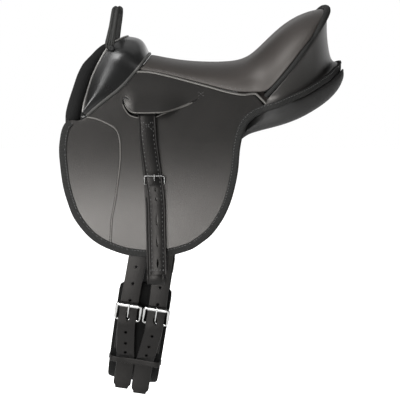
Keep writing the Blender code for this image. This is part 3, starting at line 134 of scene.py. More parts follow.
bpy.ops.mesh.primitive_plane_add(size=FLOOR_SIZE, location=(0, 0, FLOOR_Z))
floor = bpy.context.object
floor.name = "floor"
paint = bpy.data.materials.new("floor_paint")
paint.use_nodes = True
floor.data.materials.append(paint)
shader = paint.node_tree.nodes["Principled BSDF"]
shader.inputs["Base Color"].default_value = FLOOR_COLOUR
shader.inputs["Roughness"].default_value = 0.9
shader.inputs["Emission Color"].default_value = WHITE
glow = plain_rays(paint.node_tree) * FLOOR_GLOW
paint.node_tree.links.new(glow.socket, shader.inputs["Emission Strength"])

world = bpy.data.worlds.new("studio")
bpy.context.scene.world = world
world.use_nodes = True
background = world.node_tree.nodes["Background"]
way = Field(world.node_tree, world.node_tree.nodes.new("ShaderNodeTexCoord").outputs["Generated"])
height = way.node("ShaderNodeSeparateXYZ", {}, {0: way}, output=2)
glow = (1 - height.between(*WALL_TOP) * (1 - CEILING)) * (plain_rays(world.node_tree) * (1 - FILL) + FILL)
world.node_tree.links.new(glow.socket, background.inputs["Strength"])
background.inputs["Color"].default_value = WHITE


def lamp(name, place, width, height, watts):
    """A soft box that points at the saddle."""
    bpy.ops.object.light_add(type="AREA", location=place)
    light = bpy.context.object
    light.name = name
    light.rotation_euler = (AIM - Vector(place)).to_track_quat("-Z", "Y").to_euler()
    light.data.shape = "RECTANGLE"
    light.data.size = width
    light.data.size_y = height
    light.data.energy = watts


lamp("low_front_lamp", (-0.6, -2.4, 0.05), 1.2, 0.9, 85)
lamp("overhead_lamp", (0.1, 0.8, 2.2), 3.0, 2.2, 14)
lamp("back_lamp", (0.6, 2.4, 0.9), 2.4, 1.6, 10)
lamp("left_lamp", (-1.34, -0.95, 1.4), 1.2, 1.2, 80)


# Seat: synthetic leather stretched over foam on the moulded tree. The leather is one panel from the
# pommel's seam up to the cantle's rim, with a welt down each side where the skirts are sewn on.
SHARP_ANGLE = 44
SEAT_LEVELS = 2
FOAM_LEVELS = 1
FOAM_CELLS = 900


def new_finish(name, colour, **values):
    """A material, its shader, and the Object place and UV place as fields."""
    made = bpy.data.materials.new(name)
    made.use_nodes = True
    tree = made.node_tree
    shader = tree.nodes["Principled BSDF"]
    shader.inputs["Base Color"].default_value = (*colour, 1)
    for key, value in values.items():
        shader.inputs[key.replace("_", " ")].default_value = value
    places = tree.nodes.new("ShaderNodeTexCoord").outputs
    return made, Field(tree, shader), Field(tree, places["Object"]), Field(tree, places["UV"])


def finished(shader, **fields):
    """Link what changes over the surface to the shader's sockets."""
    for key, value in fields.items():
        shader.tree.links.new(value.socket, shader.socket.inputs[key.replace("_", " ")])


def raised(place, height, depth, strength=1.0):
    """A Normal from a pattern of heights, depth being how far 1 stands up."""
    return place.node("ShaderNodeBump", {}, {"Height": height, "Distance": depth, "Strength": strength})


def noise(place, scale, detail=2.0):
    return place.node("ShaderNodeTexNoise", {}, {"Vector": place, "Scale": scale, "Detail": detail})


def cells(place, scale):
    return place.node("ShaderNodeTexVoronoi", {}, {"Vector": place, "Scale": scale})


def skin_finish(name, colour, worn_colour, roughness, gloss, pebble=0.0011, depth=0.0001):
    """Synthetic leather: pebbled grain, a slow change in colour and gloss, and fine creases."""
    warm = (1, 0.96, 0.92, 1)
    made, shader, place, uv = new_finish(name, colour, Specular_IOR_Level=gloss, Specular_Tint=warm)
    grain = cells(place, 1 / pebble) ** 1.5
    creases = noise(place, 160, 3.0)
    cloud = noise(place, 14)
    tone = (cloud * 0.7 + creases * 0.3).mixed((*colour, 1), (*worn_colour, 1))
    finished(
        shader,
        Base_Color=tone,
        Roughness=roughness - 0.05 + cloud * 0.08 + creases * 0.04,
        Normal=raised(place, grain * 0.7 + creases * 0.3, depth),
    )
    return made


def held(piece):
    """Make this piece the only one that operators work on."""
    bpy.ops.object.select_all(action="DESELECT")
    piece.select_set(True)
    bpy.context.view_layer.objects.active = piece


def begun(name, mesh):
    """A new piece with this mesh."""
    piece = bpy.data.objects.new(name, mesh)
    bpy.context.scene.collection.objects.link(piece)
    held(piece)
    return piece


def copied(node, name):
    """A CAD node's mesh, merged and back in quads, as the start of a finer piece."""
    piece = begun(name, nodes[node].data.copy())
    piece.data.materials.clear()
    bpy.ops.object.mode_set(mode="EDIT")
    bpy.ops.mesh.select_all(action="SELECT")
    bpy.ops.mesh.remove_doubles(threshold=0.00002)
    bpy.ops.mesh.customdata_custom_splitnormals_clear()
    bpy.ops.mesh.tris_convert_to_quads(face_threshold=radians(60), shape_threshold=radians(60))
    bpy.ops.object.mode_set(mode="OBJECT")
    return piece


def modified(piece, kind, **settings):
    """Apply one modifier to the piece."""
    held(piece)
    bpy.ops.object.modifier_add(type=kind)
    modifier = piece.modifiers[-1]
    for key, value in settings.items():
        setattr(modifier, key, value)
    bpy.ops.object.modifier_apply(modifier=modifier.name)
    return piece


def softened(piece, levels):
    return modified(piece, "SUBSURF", levels=levels, render_levels=levels)


def fitted(piece, body, slot, material, *replaced):
    """The last step of every piece: its finish, the CAD solids it stands for, and the body that carries it
    when one is named; with several, only its place is baked in.
    """
    piece.data.materials.clear()
    piece.data.materials.append(material)
    piece.data.shade_smooth()
    piece.data.set_sharp_from_angle(angle=radians(SHARP_ANGLE))
    if replaced:
        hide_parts(*replaced)
    if isinstance(body, str):
        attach(piece, body)
    else:
        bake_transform(piece)


seat_leather = skin_finish(
    "soft_seat_leather", (0.012, 0.0105, 0.0095), (0.022, 0.019, 0.0175), roughness=0.5, gloss=0.3,
    pebble=0.0009,
)
seat = softened(copied("seat_cover", "seat_skin"), SEAT_LEVELS)
fitted(seat, "root", "smooth_leather", seat_leather, "seat_cover")
foam = softened(copied("seat_foam", "foam_pad"), FOAM_LEVELS)
foam_finish, shader, place, uv = new_finish("open_foam", (0.03, 0.03, 0.032), Roughness=0.95)
finished(shader, Normal=raised(place, cells(place, FOAM_CELLS), 0.0004))
fitted(foam, "root", "foam", foam_finish, "seat_foam")


# Skirt and flap: one piece of leather on each side, cut flat and draped on the pony's side. It hangs
# from the welt and bends at the height where the flap lifts. A crescent is cut in it for the stirrup
# leather, and the tongue of leather above the cut is pushed out by the leather under it.
HALF_WIDTH = 0.146
RISE = 0.34
CENTRE_Z = -0.245
HINGE_Z = 0.034
SKIN_IN = 0.0055
SKIN_THICK = 0.0035
SKIN_OUT = SKIN_IN + SKIN_THICK
SKIN_CELL = 0.004
TONGUE_CELL = 0.002
CUT_STEP = 0.003
HOOK_STEP = 0.0006
CUT_EDGE = 0.0009
CUT_ANGLE = radians(50)
CUTTER_FROM = 0.05
CUTTER_DEEP = 0.1
HINGE_BEND = 0.007
SKIN_TOP = (
    (-94, 72), (-70, 72), (-45, 67), (-18, 60.5), (10, 53.5), (36, 46.5), (60, 42.5), (74, 43), (81, 38),
    (88, 29),
)
SKIN_FRONT = (
    (-94, 72), (-99, 62.5), (-107, 54.5), (-117, 46), (-129, 37), (-143, 26), (-157, 14.2), (-161, 11.5),
)
SKIN_LIP = ((-161, 11.5), (-167, 10), (-176, 10.3), (-181, 9.5))
SKIN_EDGE = (
    (-181, 9.5), (-186, 4), (-189, -3), (-191, -14), (-192, -29), (-190, -50), (-186, -76), (-180, -97),
    (-171, -119), (-154, -141), (-139, -153), (-120, -162), (-96, -169), (-55, -171), (-15, -162), (3, -151),
    (16, -140), (31, -119), (41, -97), (47, -76), (51, -55), (53, -34), (55, -20), (59, -6), (65, 6),
    (75, 15), (88, 21.5),
)
SLIT_LOW = (
    (-107.2, 34), (-106, 29), (-102.5, 23), (-97.5, 17.5), (-91, 14.8), (-84, 13.8), (-62, 14.5), (-52, 18.5),
    (-34.5, 24.4), (-20.7, 29), (-11, 33.2), (-3, 38.2),
)
SLIT_CLOSE = ((-4, 38.6), (-11.5, 34), (-105, 34))
SLIT_HOOK = (
    (-98.5, 38.6), (-102, 40.9), (-105.3, 40.9), (-107.2, 38), (-107.2, 34), (-105, 34), (-105.2, 37.2),
    (-104.2, 39.2), (-102, 39.5), (-98.8, 37.4),
)
TONGUE_LOW = (
    (-105, 34), (-103, 30), (-99, 25), (-94, 22.2), (-86, 21.3), (-58, 21.6), (-47, 22.4), (-34.5, 25.5),
    (-20.7, 30.2), (-11.5, 34),
)
TONGUE_LIFT = 0.0096
TONGUE_THICK = 0.003
SWELL_TOP = 0.062
SWELL_FOOT = 0.0214
SWELL_START = (-0.1072, -0.089)
SWELL_END = (-0.058, -0.014)
SWELL_POWER = 2.6


def mm(points):
    """Points written in millimetres, as places in metres."""
    return [Vector(point) / 1000 for point in points]


def clamped(value, start, end):
    """How far value has gone from start to end, from 0 to 1."""
    return min(max((value - start) / (end - start), 0), 1)


def drape(z, layer):
    """Half-width of the pony's side at height z, moved out square to it by layer."""
    angle = asin((z - CENTRE_Z) / RISE)
    slope = HALF_WIDTH / RISE * tan(angle)
    return HALF_WIDTH * cos(angle) + layer * sqrt(1 + slope * slope)


def outward(z, side):
    """Square out from the pony's side at height z."""
    slope = HALF_WIDTH / RISE * tan(asin((z - CENTRE_Z) / RISE))
    return Vector((0, side, slope)).normalized()


def on_side(x, z, layer, side):
    return Vector((x, side * drape(z, layer), z))


def dense_line(points, steps):
    """A smooth curve through the points, in so many steps from each to the next."""
    dense = []
    for i in range(len(points) - 1):
        start, end = points[i], points[i + 1]
        reach = (end - start).length / 3
        leave = (end - points[max(i - 1, 0)]).normalized() * reach
        arrive = (points[min(i + 2, len(points) - 1)] - start).normalized() * reach
        dense += interpolate_bezier(start, start + leave, end - arrive, end, steps + 1)[:-1]
    return dense + [points[-1]]


def spaced(line, pitch):
    """The same line with its points evenly apart."""
    runs = [0.0]
    for a, b in zip(line, line[1:]):
        runs.append(runs[-1] + (b - a).length)
    count = max(round(runs[-1] / pitch), 1)
    even = []
    i = 0
    for k in range(count + 1):
        want = runs[-1] * k / count
        while i < len(line) - 2 and runs[i + 1] < want:
            i += 1
        share = (want - runs[i]) / max(runs[i + 1] - runs[i], 1e-9)
        even.append(line[i].lerp(line[i + 1], min(share, 1.0)))
    return even


def smooth_line(points, pitch):
    return spaced(dense_line(points, 12), pitch)


def side_line(points, layer, side, pitch):
    """A smooth line on the pony's side through (x, z) points in millimetres."""
    return [on_side(p.x, p.y, layer, side) for p in smooth_line(mm(points), pitch)]


def ways(line):
    """Direction of the line at each of its points."""
    last = len(line) - 1
    return [(line[min(i + 1, last)] - line[max(i - 1, 0)]).normalized() for i in range(last + 1)]


def flat_face(name, outline):
    """One flat face with an (x, z) outline, selected and open for edits."""
    mesh = bpy.data.meshes.new(name)
    mesh.from_pydata([(p.x, 0, p.y) for p in outline], [], [range(len(outline))])
    piece = begun(name, mesh)
    bpy.ops.object.mode_set(mode="EDIT")
    bpy.ops.mesh.select_all(action="SELECT")
    return piece


def cut_flat(name, outline, cell):
    """Leather cut to an (x, z) outline and scored into small cells, so that it can be draped."""
    piece = flat_face(name, outline)
    for axis, normal in ((0, (1, 0, 0)), (1, (0, 0, 1))):
        low = min(p[axis] for p in outline)
        high = max(p[axis] for p in outline)
        for k in range(1, int((high - low) / cell) + 1):
            bpy.ops.mesh.select_all(action="SELECT")
            bpy.ops.mesh.bisect(plane_co=Vector(normal) * (low + k * cell), plane_no=normal)
    bpy.ops.mesh.select_all(action="SELECT")
    bpy.ops.mesh.remove_doubles(threshold=0.0003)
    bpy.ops.object.mode_set(mode="OBJECT")
    return piece


def draped(piece, side, layer, thick):
    """Lay a flat piece on the pony's side, its face at layer(x, z), with its thickness inwards."""
    for vert in piece.data.vertices:
        x, y, z = vert.co
        vert.co.y = side * drape(z, layer(x, z))
    if sum(face.normal.y * face.area for face in piece.data.polygons) * side < 0:
        piece.data.flip_normals()
    modified(piece, "SOLIDIFY", thickness=thick, offset=-1)


def cut_out(piece, outline, side):
    """Cut an (x, z) outline right through a draped piece."""
    cutter = flat_face("cutter", outline)
    bpy.ops.mesh.extrude_region_move(TRANSFORM_OT_translate={"value": (0, side * CUTTER_DEEP, 0)})
    bpy.ops.mesh.select_all(action="SELECT")
    bpy.ops.transform.translate(value=(0, side * CUTTER_FROM, 0))
    bpy.ops.mesh.normals_make_consistent(inside=False)
    bpy.ops.object.mode_set(mode="OBJECT")
    modified(piece, "BOOLEAN", operation="DIFFERENCE", object=cutter)
    bpy.data.objects.remove(cutter)


def edges_rounded(piece):
    """Round a cut piece's sharp edges, except those at the line that it bends about."""
    shape = bmesh.new()
    shape.from_mesh(piece.data)
    weight = shape.edges.layers.float.new("bevel_weight_edge")
    for edge in shape.edges:
        at_root = all(abs(vert.co.z - HINGE_Z) < 0.0002 for vert in edge.verts)
        if len(edge.link_faces) == 2 and edge.calc_face_angle() > CUT_ANGLE and not at_root:
            edge[weight] = 1.0
    shape.to_mesh(piece.data)
    shape.free()
    modified(piece, "BEVEL", width=CUT_EDGE, segments=3, limit_method="WEIGHT")


def bulged_layer(x, z):
    """The leather over the stirrup bar swells out to clear the strap, and lies flush again at both ends."""
    drop = clamped(z, SWELL_TOP, SWELL_FOOT)
    start = clamped(x, *SWELL_START)
    shut = clamped(x, *SWELL_END)
    spread = start * start * (3 - 2 * start) * (1 - shut * shut * (3 - 2 * shut))
    return SKIN_OUT + TONGUE_LIFT * drop ** SWELL_POWER * spread


def skin_layer(x, z):
    return bulged_layer(x, z) if z > HINGE_Z - SKIN_CELL else SKIN_OUT


satin_leather = skin_finish(
    "satin_leather", (0.005, 0.005, 0.0048), (0.009, 0.0084, 0.008), roughness=0.36, gloss=0.3, depth=0.00009
)
outline = []
for part in (SKIN_FRONT, SKIN_LIP, SKIN_EDGE, SKIN_TOP[::-1]):
    outline += smooth_line(mm(part), SKIN_CELL)[:-1]
slit_low = smooth_line(mm(SLIT_LOW), CUT_STEP)
tongue_low = smooth_line(mm(TONGUE_LOW), CUT_STEP)
notch = slit_low + mm(SLIT_CLOSE)
half = len(SLIT_HOOK) // 2
hook = smooth_line(mm(SLIT_HOOK[:half]), HOOK_STEP) + smooth_line(mm(SLIT_HOOK[half:]), HOOK_STEP)
for label, side in SIDES:
    skin = cut_flat("skirt_and_flap_" + label, outline, SKIN_CELL)
    draped(skin, side, skin_layer, SKIN_THICK)
    cut_out(skin, notch, side)
    cut_out(skin, hook, side)
    edges_rounded(skin)
    hinge = on_side(0, HINGE_Z, SKIN_OUT, side)
    bend = [hinge + Vector((0, 0, shift)) for shift in (HINGE_BEND, -HINGE_BEND)]
    bodies = ("root", "flap_" + label, *bend)
    fitted(skin, bodies, "smooth_leather", satin_leather, "skirt_" + label, "flap_" + label)
    tongue = cut_flat("slit_tongue_" + label, tongue_low, TONGUE_CELL)
    draped(tongue, side, bulged_layer, TONGUE_THICK)
    edges_rounded(tongue)
    fitted(tongue, "skirt_tongue_" + label, "smooth_leather", satin_leather, "skirt_tongue_" + label)


# Seams and edges on the flap: the knee roll's seam, which is a raised cord with a row of near-black stitches
# in front of it that also paint its shadow, the cross of stitches at the slit's end, and the burnished edges
# of slit and tongue, whose light colour is partly a painted highlight.
KNEE_SEAM = (
    (-156, 14.5), (-145, 13), (-127, 6), (-115, -2), (-110, -15), (-109, -29), (-109, -44), (-112, -71),
    (-116, -99), (-120, -120), (-122, -156),
)
KNEE_SEAM_RADIUS = 0.0013
KNEE_SHADOW_SHIFT = -0.0017
EDGE_RADIUS = 0.001
TONGUE_EDGE_SINK = 0.0003
STITCH_PITCH = 0.0038
STITCH_LONG = 0.0028
STITCH_RADIUS = 0.00042
SLIT_TACK = (0.0014, 0.0449)
SLIT_TACK_HALF = (0.0045, 0.003)
SLIT_TACK_COUNT = 3


def grid_piece(name, columns, rows, place):
    """A grid whose points are moved to place(column, row)."""
    bpy.ops.mesh.primitive_grid_add(x_subdivisions=columns, y_subdivisions=rows, size=1)
    piece = bpy.context.object
    piece.name = name
    for vert in piece.data.vertices:
        vert.co = place(round((vert.co.x + 0.5) * columns), round((vert.co.y + 0.5) * rows))
    return piece


def swept(name, stations, sections, capped=True):
    """Closed sections carried along stations of (middle, across, out). The UV map is in metres along it."""
    columns = len(sections[0])

    def place(column, row):
        middle, across, out = stations[row]
        a, b = sections[row][column % columns]
        return middle + across * a + out * b

    piece = grid_piece(name, columns, len(stations) - 1, place)
    length = sum((b[0] - a[0]).length for a, b in zip(stations, stations[1:]))
    for loop in piece.data.uv_layers[0].data:
        loop.uv.y *= length
    bpy.ops.object.mode_set(mode="EDIT")
    bpy.ops.mesh.select_all(action="SELECT")
    bpy.ops.mesh.remove_doubles(threshold=0.00001)
    if capped:
        bpy.ops.mesh.fill_holes(sides=0)
    bpy.ops.mesh.select_all(action="SELECT")
    bpy.ops.mesh.normals_make_consistent(inside=False)
    bpy.ops.object.mode_set(mode="OBJECT")
    return piece


def turned_stations(line):
    """Stations along a line, turned as little as its bends allow."""
    stations = []
    across = ways(line)[0].orthogonal()
    for point, way in zip(line, ways(line)):
        across = (across - way * across.dot(way)).normalized()
        stations.append((point, across, way.cross(across)))
    return stations


def round_section(radius, sides):
    turns = [2 * pi * k / sides for k in range(sides)]
    return [(radius * cos(turn), radius * sin(turn)) for turn in turns]


def piping(name, line, radius, sides=10):
    """A round cord or roll along a line. The radius is one number, or one for each point."""
    radii = radius if isinstance(radius, list) else [radius] * len(line)
    return swept(name, turned_stations(line), [round_section(r, sides) for r in radii])


# Edge finish for seam cords, slit, tongue and welts: its colour, far lighter than the leather, is partly the
# edge's own paint and partly a painted highlight along these lines.
burnished_edge_and_highlight = skin_finish(
    "burnished_edge_and_highlight", (0.03, 0.029, 0.027), (0.05, 0.048, 0.045), roughness=0.42, gloss=0.4
)
thread, shader, place, uv = new_finish("black_thread", (0.018, 0.0175, 0.017), Sheen_Weight=0.2)
finished(shader, Roughness=noise(place, 900) * 0.2 + 0.5)
# Near-black thread for the knee seam's row of stitches, which sits in front of the cord as its painted
# shadow.
shadow_dark_thread, shader, place, uv = new_finish("shadow_dark_thread", (0.002, 0.002, 0.002), Specular_IOR_Level=0.1)
finished(shader, Roughness=noise(place, 900) * 0.2 + 0.6)


def marks_along(line, outs, pitch):
    """Places for stitches along a line: where each is, the way it lies and the way out of the leather."""
    marks = []
    travelled = pitch
    for a, b, way, out in zip(line, line[1:], ways(line), outs):
        if travelled >= pitch:
            marks.append((a, way, out))
            travelled = 0.0
        travelled += (b - a).length
    return marks


def sewn(name, marks):
    """One stitch, copied to every mark."""
    bpy.ops.mesh.primitive_uv_sphere_add(segments=6, ring_count=4, radius=1)
    stitch = bpy.context.object
    shape = bmesh.new()
    for middle, way, out in marks:
        across = out.cross(way).normalized()
        sizes = (way * STITCH_LONG / 2, across * STITCH_RADIUS, way.cross(across) * STITCH_RADIUS)
        turn = Matrix(sizes).transposed().to_4x4()
        start = len(shape.verts)
        shape.from_mesh(stitch.data)
        shape.verts.ensure_lookup_table()
        for vert in shape.verts[start:]:
            vert.co = turn @ vert.co + middle
    piece = begun(name, stitch.data.copy())
    shape.to_mesh(piece.data)
    shape.free()
    bpy.data.objects.remove(stitch)
    return piece


def cross_marks(spot, middle, half_wide, half_high, count):
    """Marks for a cross of stitches in a box. spot(across, up) is a place on the leather and its way out."""
    marks = []
    for lean in (-1, 1):
        for k in range(count):
            share = 2 * (k + 0.5) / count - 1
            shares = (share, share + 0.1)
            ends = [(middle[0] + half_wide * s, middle[1] + half_high * s * lean) for s in shares]
            (here, out), (there, _) = (spot(*end) for end in ends)
            marks.append((here, (there - here).normalized(), out))
    return marks


for label, side in SIDES:
    seam = piping("knee_seam_" + label, side_line(KNEE_SEAM, SKIN_OUT, side, CUT_STEP), KNEE_SEAM_RADIUS)
    fitted(seam, "flap_" + label, "smooth_leather", burnished_edge_and_highlight)
    # Real stitching just in front of the cord, in near-black thread so that it also paints the cord's shadow.
    row = [p + Vector((KNEE_SHADOW_SHIFT, 0, 0)) for p in side_line(KNEE_SEAM, SKIN_OUT, side, STITCH_PITCH)]
    outs = [outward(p.z, side) for p in row]
    stitches = sewn("knee_seam_stitches_and_shadow_" + label, marks_along(row, outs, STITCH_PITCH))
    fitted(stitches, "flap_" + label, "strap_leather", shadow_dark_thread)

    def skin_spot(x, z):
        return on_side(x, z, SKIN_OUT, side), outward(z, side)

    tack = sewn("slit_tack_" + label, cross_marks(skin_spot, SLIT_TACK, *SLIT_TACK_HALF, SLIT_TACK_COUNT))
    fitted(tack, "root", "strap_leather", thread)
    line = [on_side(p.x, p.y, SKIN_OUT, side) for p in slit_low if p.y < HINGE_Z]
    edge = piping("slit_edge_" + label, line, EDGE_RADIUS)
    fitted(edge, "flap_" + label, "smooth_leather", burnished_edge_and_highlight)
    low = [p for p in tongue_low if p.y < HINGE_Z - EDGE_RADIUS]
    line = [on_side(p.x, p.y, bulged_layer(p.x, p.y) - TONGUE_EDGE_SINK, side) for p in low]
    edge = piping("tongue_edge_" + label, line, EDGE_RADIUS)
    fitted(edge, "skirt_tongue_" + label, "smooth_leather", burnished_edge_and_highlight)


# Edge tape: ribbed textile folded over the flap's cut edge and sewn through. It runs on round the
# back of the saddle, where it binds the panel to the cantle's ledge, so flap and back are one line.
TAPE_WIDE = 0.009
TAPE_THICK = 0.001
TAPE_STAND = 0.0031
BAND_WIDE = 0.008
BAND_SPREAD = 0.0035
BAND_STAND = 0.0015
TAPE_STITCH_IN = 0.0018
BAND_LINE = (
    (91, 99, 23), (104, 101, 27), (117, 99, 32), (131, 95, 38), (146, 89, 44), (160, 80, 51), (173, 69, 58),
    (184, 56, 63), (192, 42, 68), (198.5, 28, 70), (203, 14, 73), (204.5, 0, 74.5),
)
TAPE_TURN_X = (0.094, 0.08)
FLAP_END_X = 0.09
TAPE_NARROWS = (0.07, 0.105)
BAND_SPREADS = (0.17, 0.2)
TAPE_STEP = 0.004
TAPE_EVENED = 6
TAPE_RIBS = 0.0021


def evened(vectors, turns):
    """Vectors along a line, each turned a little towards its neighbours, so many times."""
    last = len(vectors) - 1
    for _ in range(turns):
        vectors = [
            (vectors[max(i - 1, 0)] + vector * 2 + vectors[min(i + 1, last)]).normalized()
            for i, vector in enumerate(vectors)
        ]
    return vectors


def folded_section(wide, stand):
    """Tape folded over an edge: out to wide on both faces, stand away from the middle."""
    inner = stand - TAPE_THICK
    outside = [
        (wide, stand - 0.0003), (wide - 0.0003, stand), (wide / 2, stand), (0.0012, stand),
        (-0.0002, stand * 0.9), (-0.0011, stand * 0.5), (-0.00135, 0),
    ]
    inside = [(-0.0004, 0), (-0.0001, inner * 0.6), (0.0008, inner), (wide / 2, inner), (wide, inner)]
    outside_back = [(a, -b) for a, b in outside[-2::-1]]
    inside_back = [(a, -b) for a, b in inside[:0:-1]]
    return outside + outside_back + inside_back + inside


def tape_stations(side):
    """Stations along the flap's edge and on round the back, on one even line."""
    flap = side_line(SKIN_EDGE, SKIN_IN + SKIN_THICK / 2, side, TAPE_STEP)
    band = [Vector((p.x, side * p.y, p.z)) for p in smooth_line(mm(BAND_LINE), TAPE_STEP)]
    line = spaced(flap + band, TAPE_STEP)
    away = ways(line)
    outs = []
    for point, way in zip(line, away):
        flat = Vector((abs(way.y), side * abs(way.x), 0)).normalized()
        outs.append(outward(point.z, side) if point.x < FLAP_END_X else flat)
    outs = evened(outs, TAPE_EVENED)
    stations = []
    for point, way, out in zip(line, away, outs):
        up = Vector((-way.z, 0, way.x)) if point.x < FLAP_END_X else Vector((0, 0, 1))
        across = up - out * up.dot(out)
        across = (across - way * across.dot(way)).normalized()
        stations.append((point, across, out))
    return stations


def ribbed_finish(name, colour, pitch):
    """Ribbed binding tape: cross ribs along its own length, over a loose weave."""
    made, shader, place, uv = new_finish(name, colour, Roughness=0.8, Specular_IOR_Level=0.15)
    phase = uv.node("ShaderNodeSeparateXYZ", {}, {0: uv}, output=1) * (2 * pi / pitch)
    ribs = phase.maths("SINE", phase) * 0.5 + 0.5
    weave = noise(place, 900)
    tone = (ribs * 0.6 + weave * 0.4).mixed((0.003, 0.003, 0.003, 1), (*(c * 1.6 for c in colour), 1))
    finished(shader, Base_Color=tone, Normal=raised(place, ribs * 0.7 + weave * 0.3, 0.00035))
    return made


ribbed_tape = ribbed_finish("ribbed_tape_weave", (0.009, 0.009, 0.0085), TAPE_RIBS)
for label, side in SIDES:
    stations = tape_stations(side)
    sections, row = [], []
    for point, across, out in stations:
        share = clamped(point.x, *TAPE_NARROWS)
        wide = TAPE_WIDE + (BAND_WIDE - TAPE_WIDE) * share + BAND_SPREAD * clamped(point.x, *BAND_SPREADS)
        stand = TAPE_STAND + (BAND_STAND - TAPE_STAND) * share
        sections.append(folded_section(wide, stand))
        row.append(point + across * (wide - TAPE_STITCH_IN) + out * (stand + STITCH_RADIUS / 2))
    tape = swept("edge_tape_" + label, stations, sections)
    carried = ("root", "flap_" + label, *((x, 0, 0) for x in TAPE_TURN_X))
    fitted(tape, carried, "ribbed_tape", ribbed_tape, "flap_binding_" + label, "panel_band")
    outs = [out for point, across, out in stations]
    stitches = sewn("tape_stitches_" + label, marks_along(row, outs, STITCH_PITCH))
    fitted(stitches, carried, "ribbed_tape", thread)


# Pommel: a glossy moulded cover over the tree's steel arch, cut back in the middle, with a rolled
# front rim and a piped seam where the seat's leather and the flaps begin.
POMMEL_ARCH = (
    (-105, 0, 121), (-110, 18, 119.5), (-119, 31, 115.5), (-129, 42, 108.5), (-138, 50, 95), (-146, 58, 80),
    (-152, 66, 66),
)
POMMEL_FOOT = ((-156.5, 51), (-160, 37), (-162, 25), (-162.5, 14))
POMMEL_FOOT_LAYER = 0.003
POMMEL_TOP_SEAM = ((-74, 0, 95), (-75, 29.8, 93.7), (-78, 48.7, 90), (-83, 60.4, 83.7), (-91, 64.3, 74))
POMMEL_SIDE_SEAM = ((-98, 66), (-106, 57.5), (-116, 48.5), (-128, 39.5), (-142, 28.5), (-156, 16.5))
POMMEL_BULGE = 0.0082
POMMEL_BULGE_POWER = 1.15
POMMEL_THICK = 0.004
POMMEL_EDGE = 0.001
POMMEL_CROWN = Vector((-0.09, 0, 0.115))
POMMEL_ROWS = 16
POMMEL_STEPS = 5
POMMEL_EVENED = 40
SEAM_PIPE_RADIUS = 0.0024
SEAM_PIPE_STEP = 0.003
RIM_BEAD_RADIUS = 0.0015
RIM_BEAD_STEP = 0.004


def over_arch(half):
    """A line from the middle down the right side, made into one over both sides, right end first."""
    return half[::-1] + [Vector((p.x, -p.y, p.z)) for p in half[1:]]


def side_places(points, layer):
    return [on_side(x / 1000, z / 1000, layer, 1) for x, z in points]


rim_half = mm(POMMEL_ARCH) + side_places(POMMEL_FOOT, POMMEL_FOOT_LAYER)
seam_half = mm(POMMEL_TOP_SEAM) + side_places(POMMEL_SIDE_SEAM, SKIN_OUT)
rim_line = dense_line(over_arch(rim_half), POMMEL_STEPS)
seam_line = dense_line(over_arch(seam_half), POMMEL_STEPS)
spans = [seam - rim for rim, seam in zip(rim_line, seam_line)]
rim_outs, seam_outs = (
    evened([way.cross(span).normalized() for way, span in zip(ways(line), spans)], POMMEL_EVENED)
    for line in (rim_line, seam_line)
)


def pommel_place(column, row):
    """A place on the moulding, which swells out between its rim and its seam."""
    share = row / POMMEL_ROWS
    out = rim_outs[column].lerp(seam_outs[column], share).normalized()
    swell = out * POMMEL_BULGE * sin(pi * share) ** POMMEL_BULGE_POWER
    return rim_line[column] + spans[column] * share + swell


pommel = grid_piece("pommel_shell", len(rim_line) - 1, POMMEL_ROWS, pommel_place)
crown_face = min(pommel.data.polygons, key=lambda face: (face.center - POMMEL_CROWN).length)
if crown_face.normal.z < 0:
    pommel.data.flip_normals()
modified(pommel, "SOLIDIFY", thickness=POMMEL_THICK, offset=-1)
modified(pommel, "BEVEL", width=POMMEL_EDGE, segments=3, limit_method="ANGLE", angle_limit=CUT_ANGLE)
gloss, shader, place, uv = new_finish("gloss_moulding_black", (0.006, 0.006, 0.006), Specular_IOR_Level=0.45)
ripple = raised(place, noise(place, 90), 0.0002, 0.4)
finished(shader, Roughness=noise(place, 60, 3.0) * 0.1 + 0.24, Normal=ripple)
fitted(pommel, "root", "gloss_moulding", gloss, "pommel_cover")

# The rim's bead is black. Its light grey colour is a painted highlight along the pommel's front rim.
painted_rim_highlight = skin_finish(
    "painted_rim_highlight", (0.09, 0.088, 0.085), (0.14, 0.136, 0.13), roughness=0.35, gloss=0.5
)
bead = piping("pommel_rim_bead", spaced(rim_line, RIM_BEAD_STEP), RIM_BEAD_RADIUS)
fitted(bead, "root", "gloss_moulding", painted_rim_highlight)
seam_pipe = piping("pommel_seam_piping", smooth_line(over_arch(seam_half), SEAM_PIPE_STEP), SEAM_PIPE_RADIUS)
# The seam's piping is coloured lighter than the moulding, partly its own colour and partly a painted
# highlight along it.
dull_piping_painted_highlight = skin_finish("dull_piping_painted_highlight", (0.02, 0.02, 0.019), (0.035, 0.035, 0.034), roughness=0.5, gloss=0.3)
fitted(seam_pipe, "root", "smooth_leather", dull_piping_painted_highlight, "pommel_piping")


# Front facing: a soft roll of foam in thin black cloth, under the pommel's front rim. It follows the rim
# over the arch from one foot to the other, and keeps the pommel off the pony's withers.
FACING_SHIFT = (
    (-8.0, 0, -9.5), (-7.5, -1, -8.5), (-8.0, -2.5, -7.0), (-9.0, -2.5, -5.5), (-10.2, -2.5, -4.0),
    (-10.8, -2.5, -1.0), (-10.8, -2.5, -0.2), (-10.8, -2, 0), (-11.4, -2, 0), (-12.8, -5, 0), (-14.4, -9, 0),
)
FACING_RADIUS = (6, 6, 6, 6.5, 8, 10, 10.4, 10.4, 10.4, 10.4, 10.4, 10.4)
FACING_FOOT = (-177, 86, -10)
FACING_STEPS = 4
FACING_SIDES = 20
FACING_BLACK = (0.003, 0.003, 0.003)
roll_half = [a + b for a, b in zip(rim_half, mm(FACING_SHIFT))] + mm([FACING_FOOT])
roll_line = dense_line(over_arch(roll_half), FACING_STEPS)
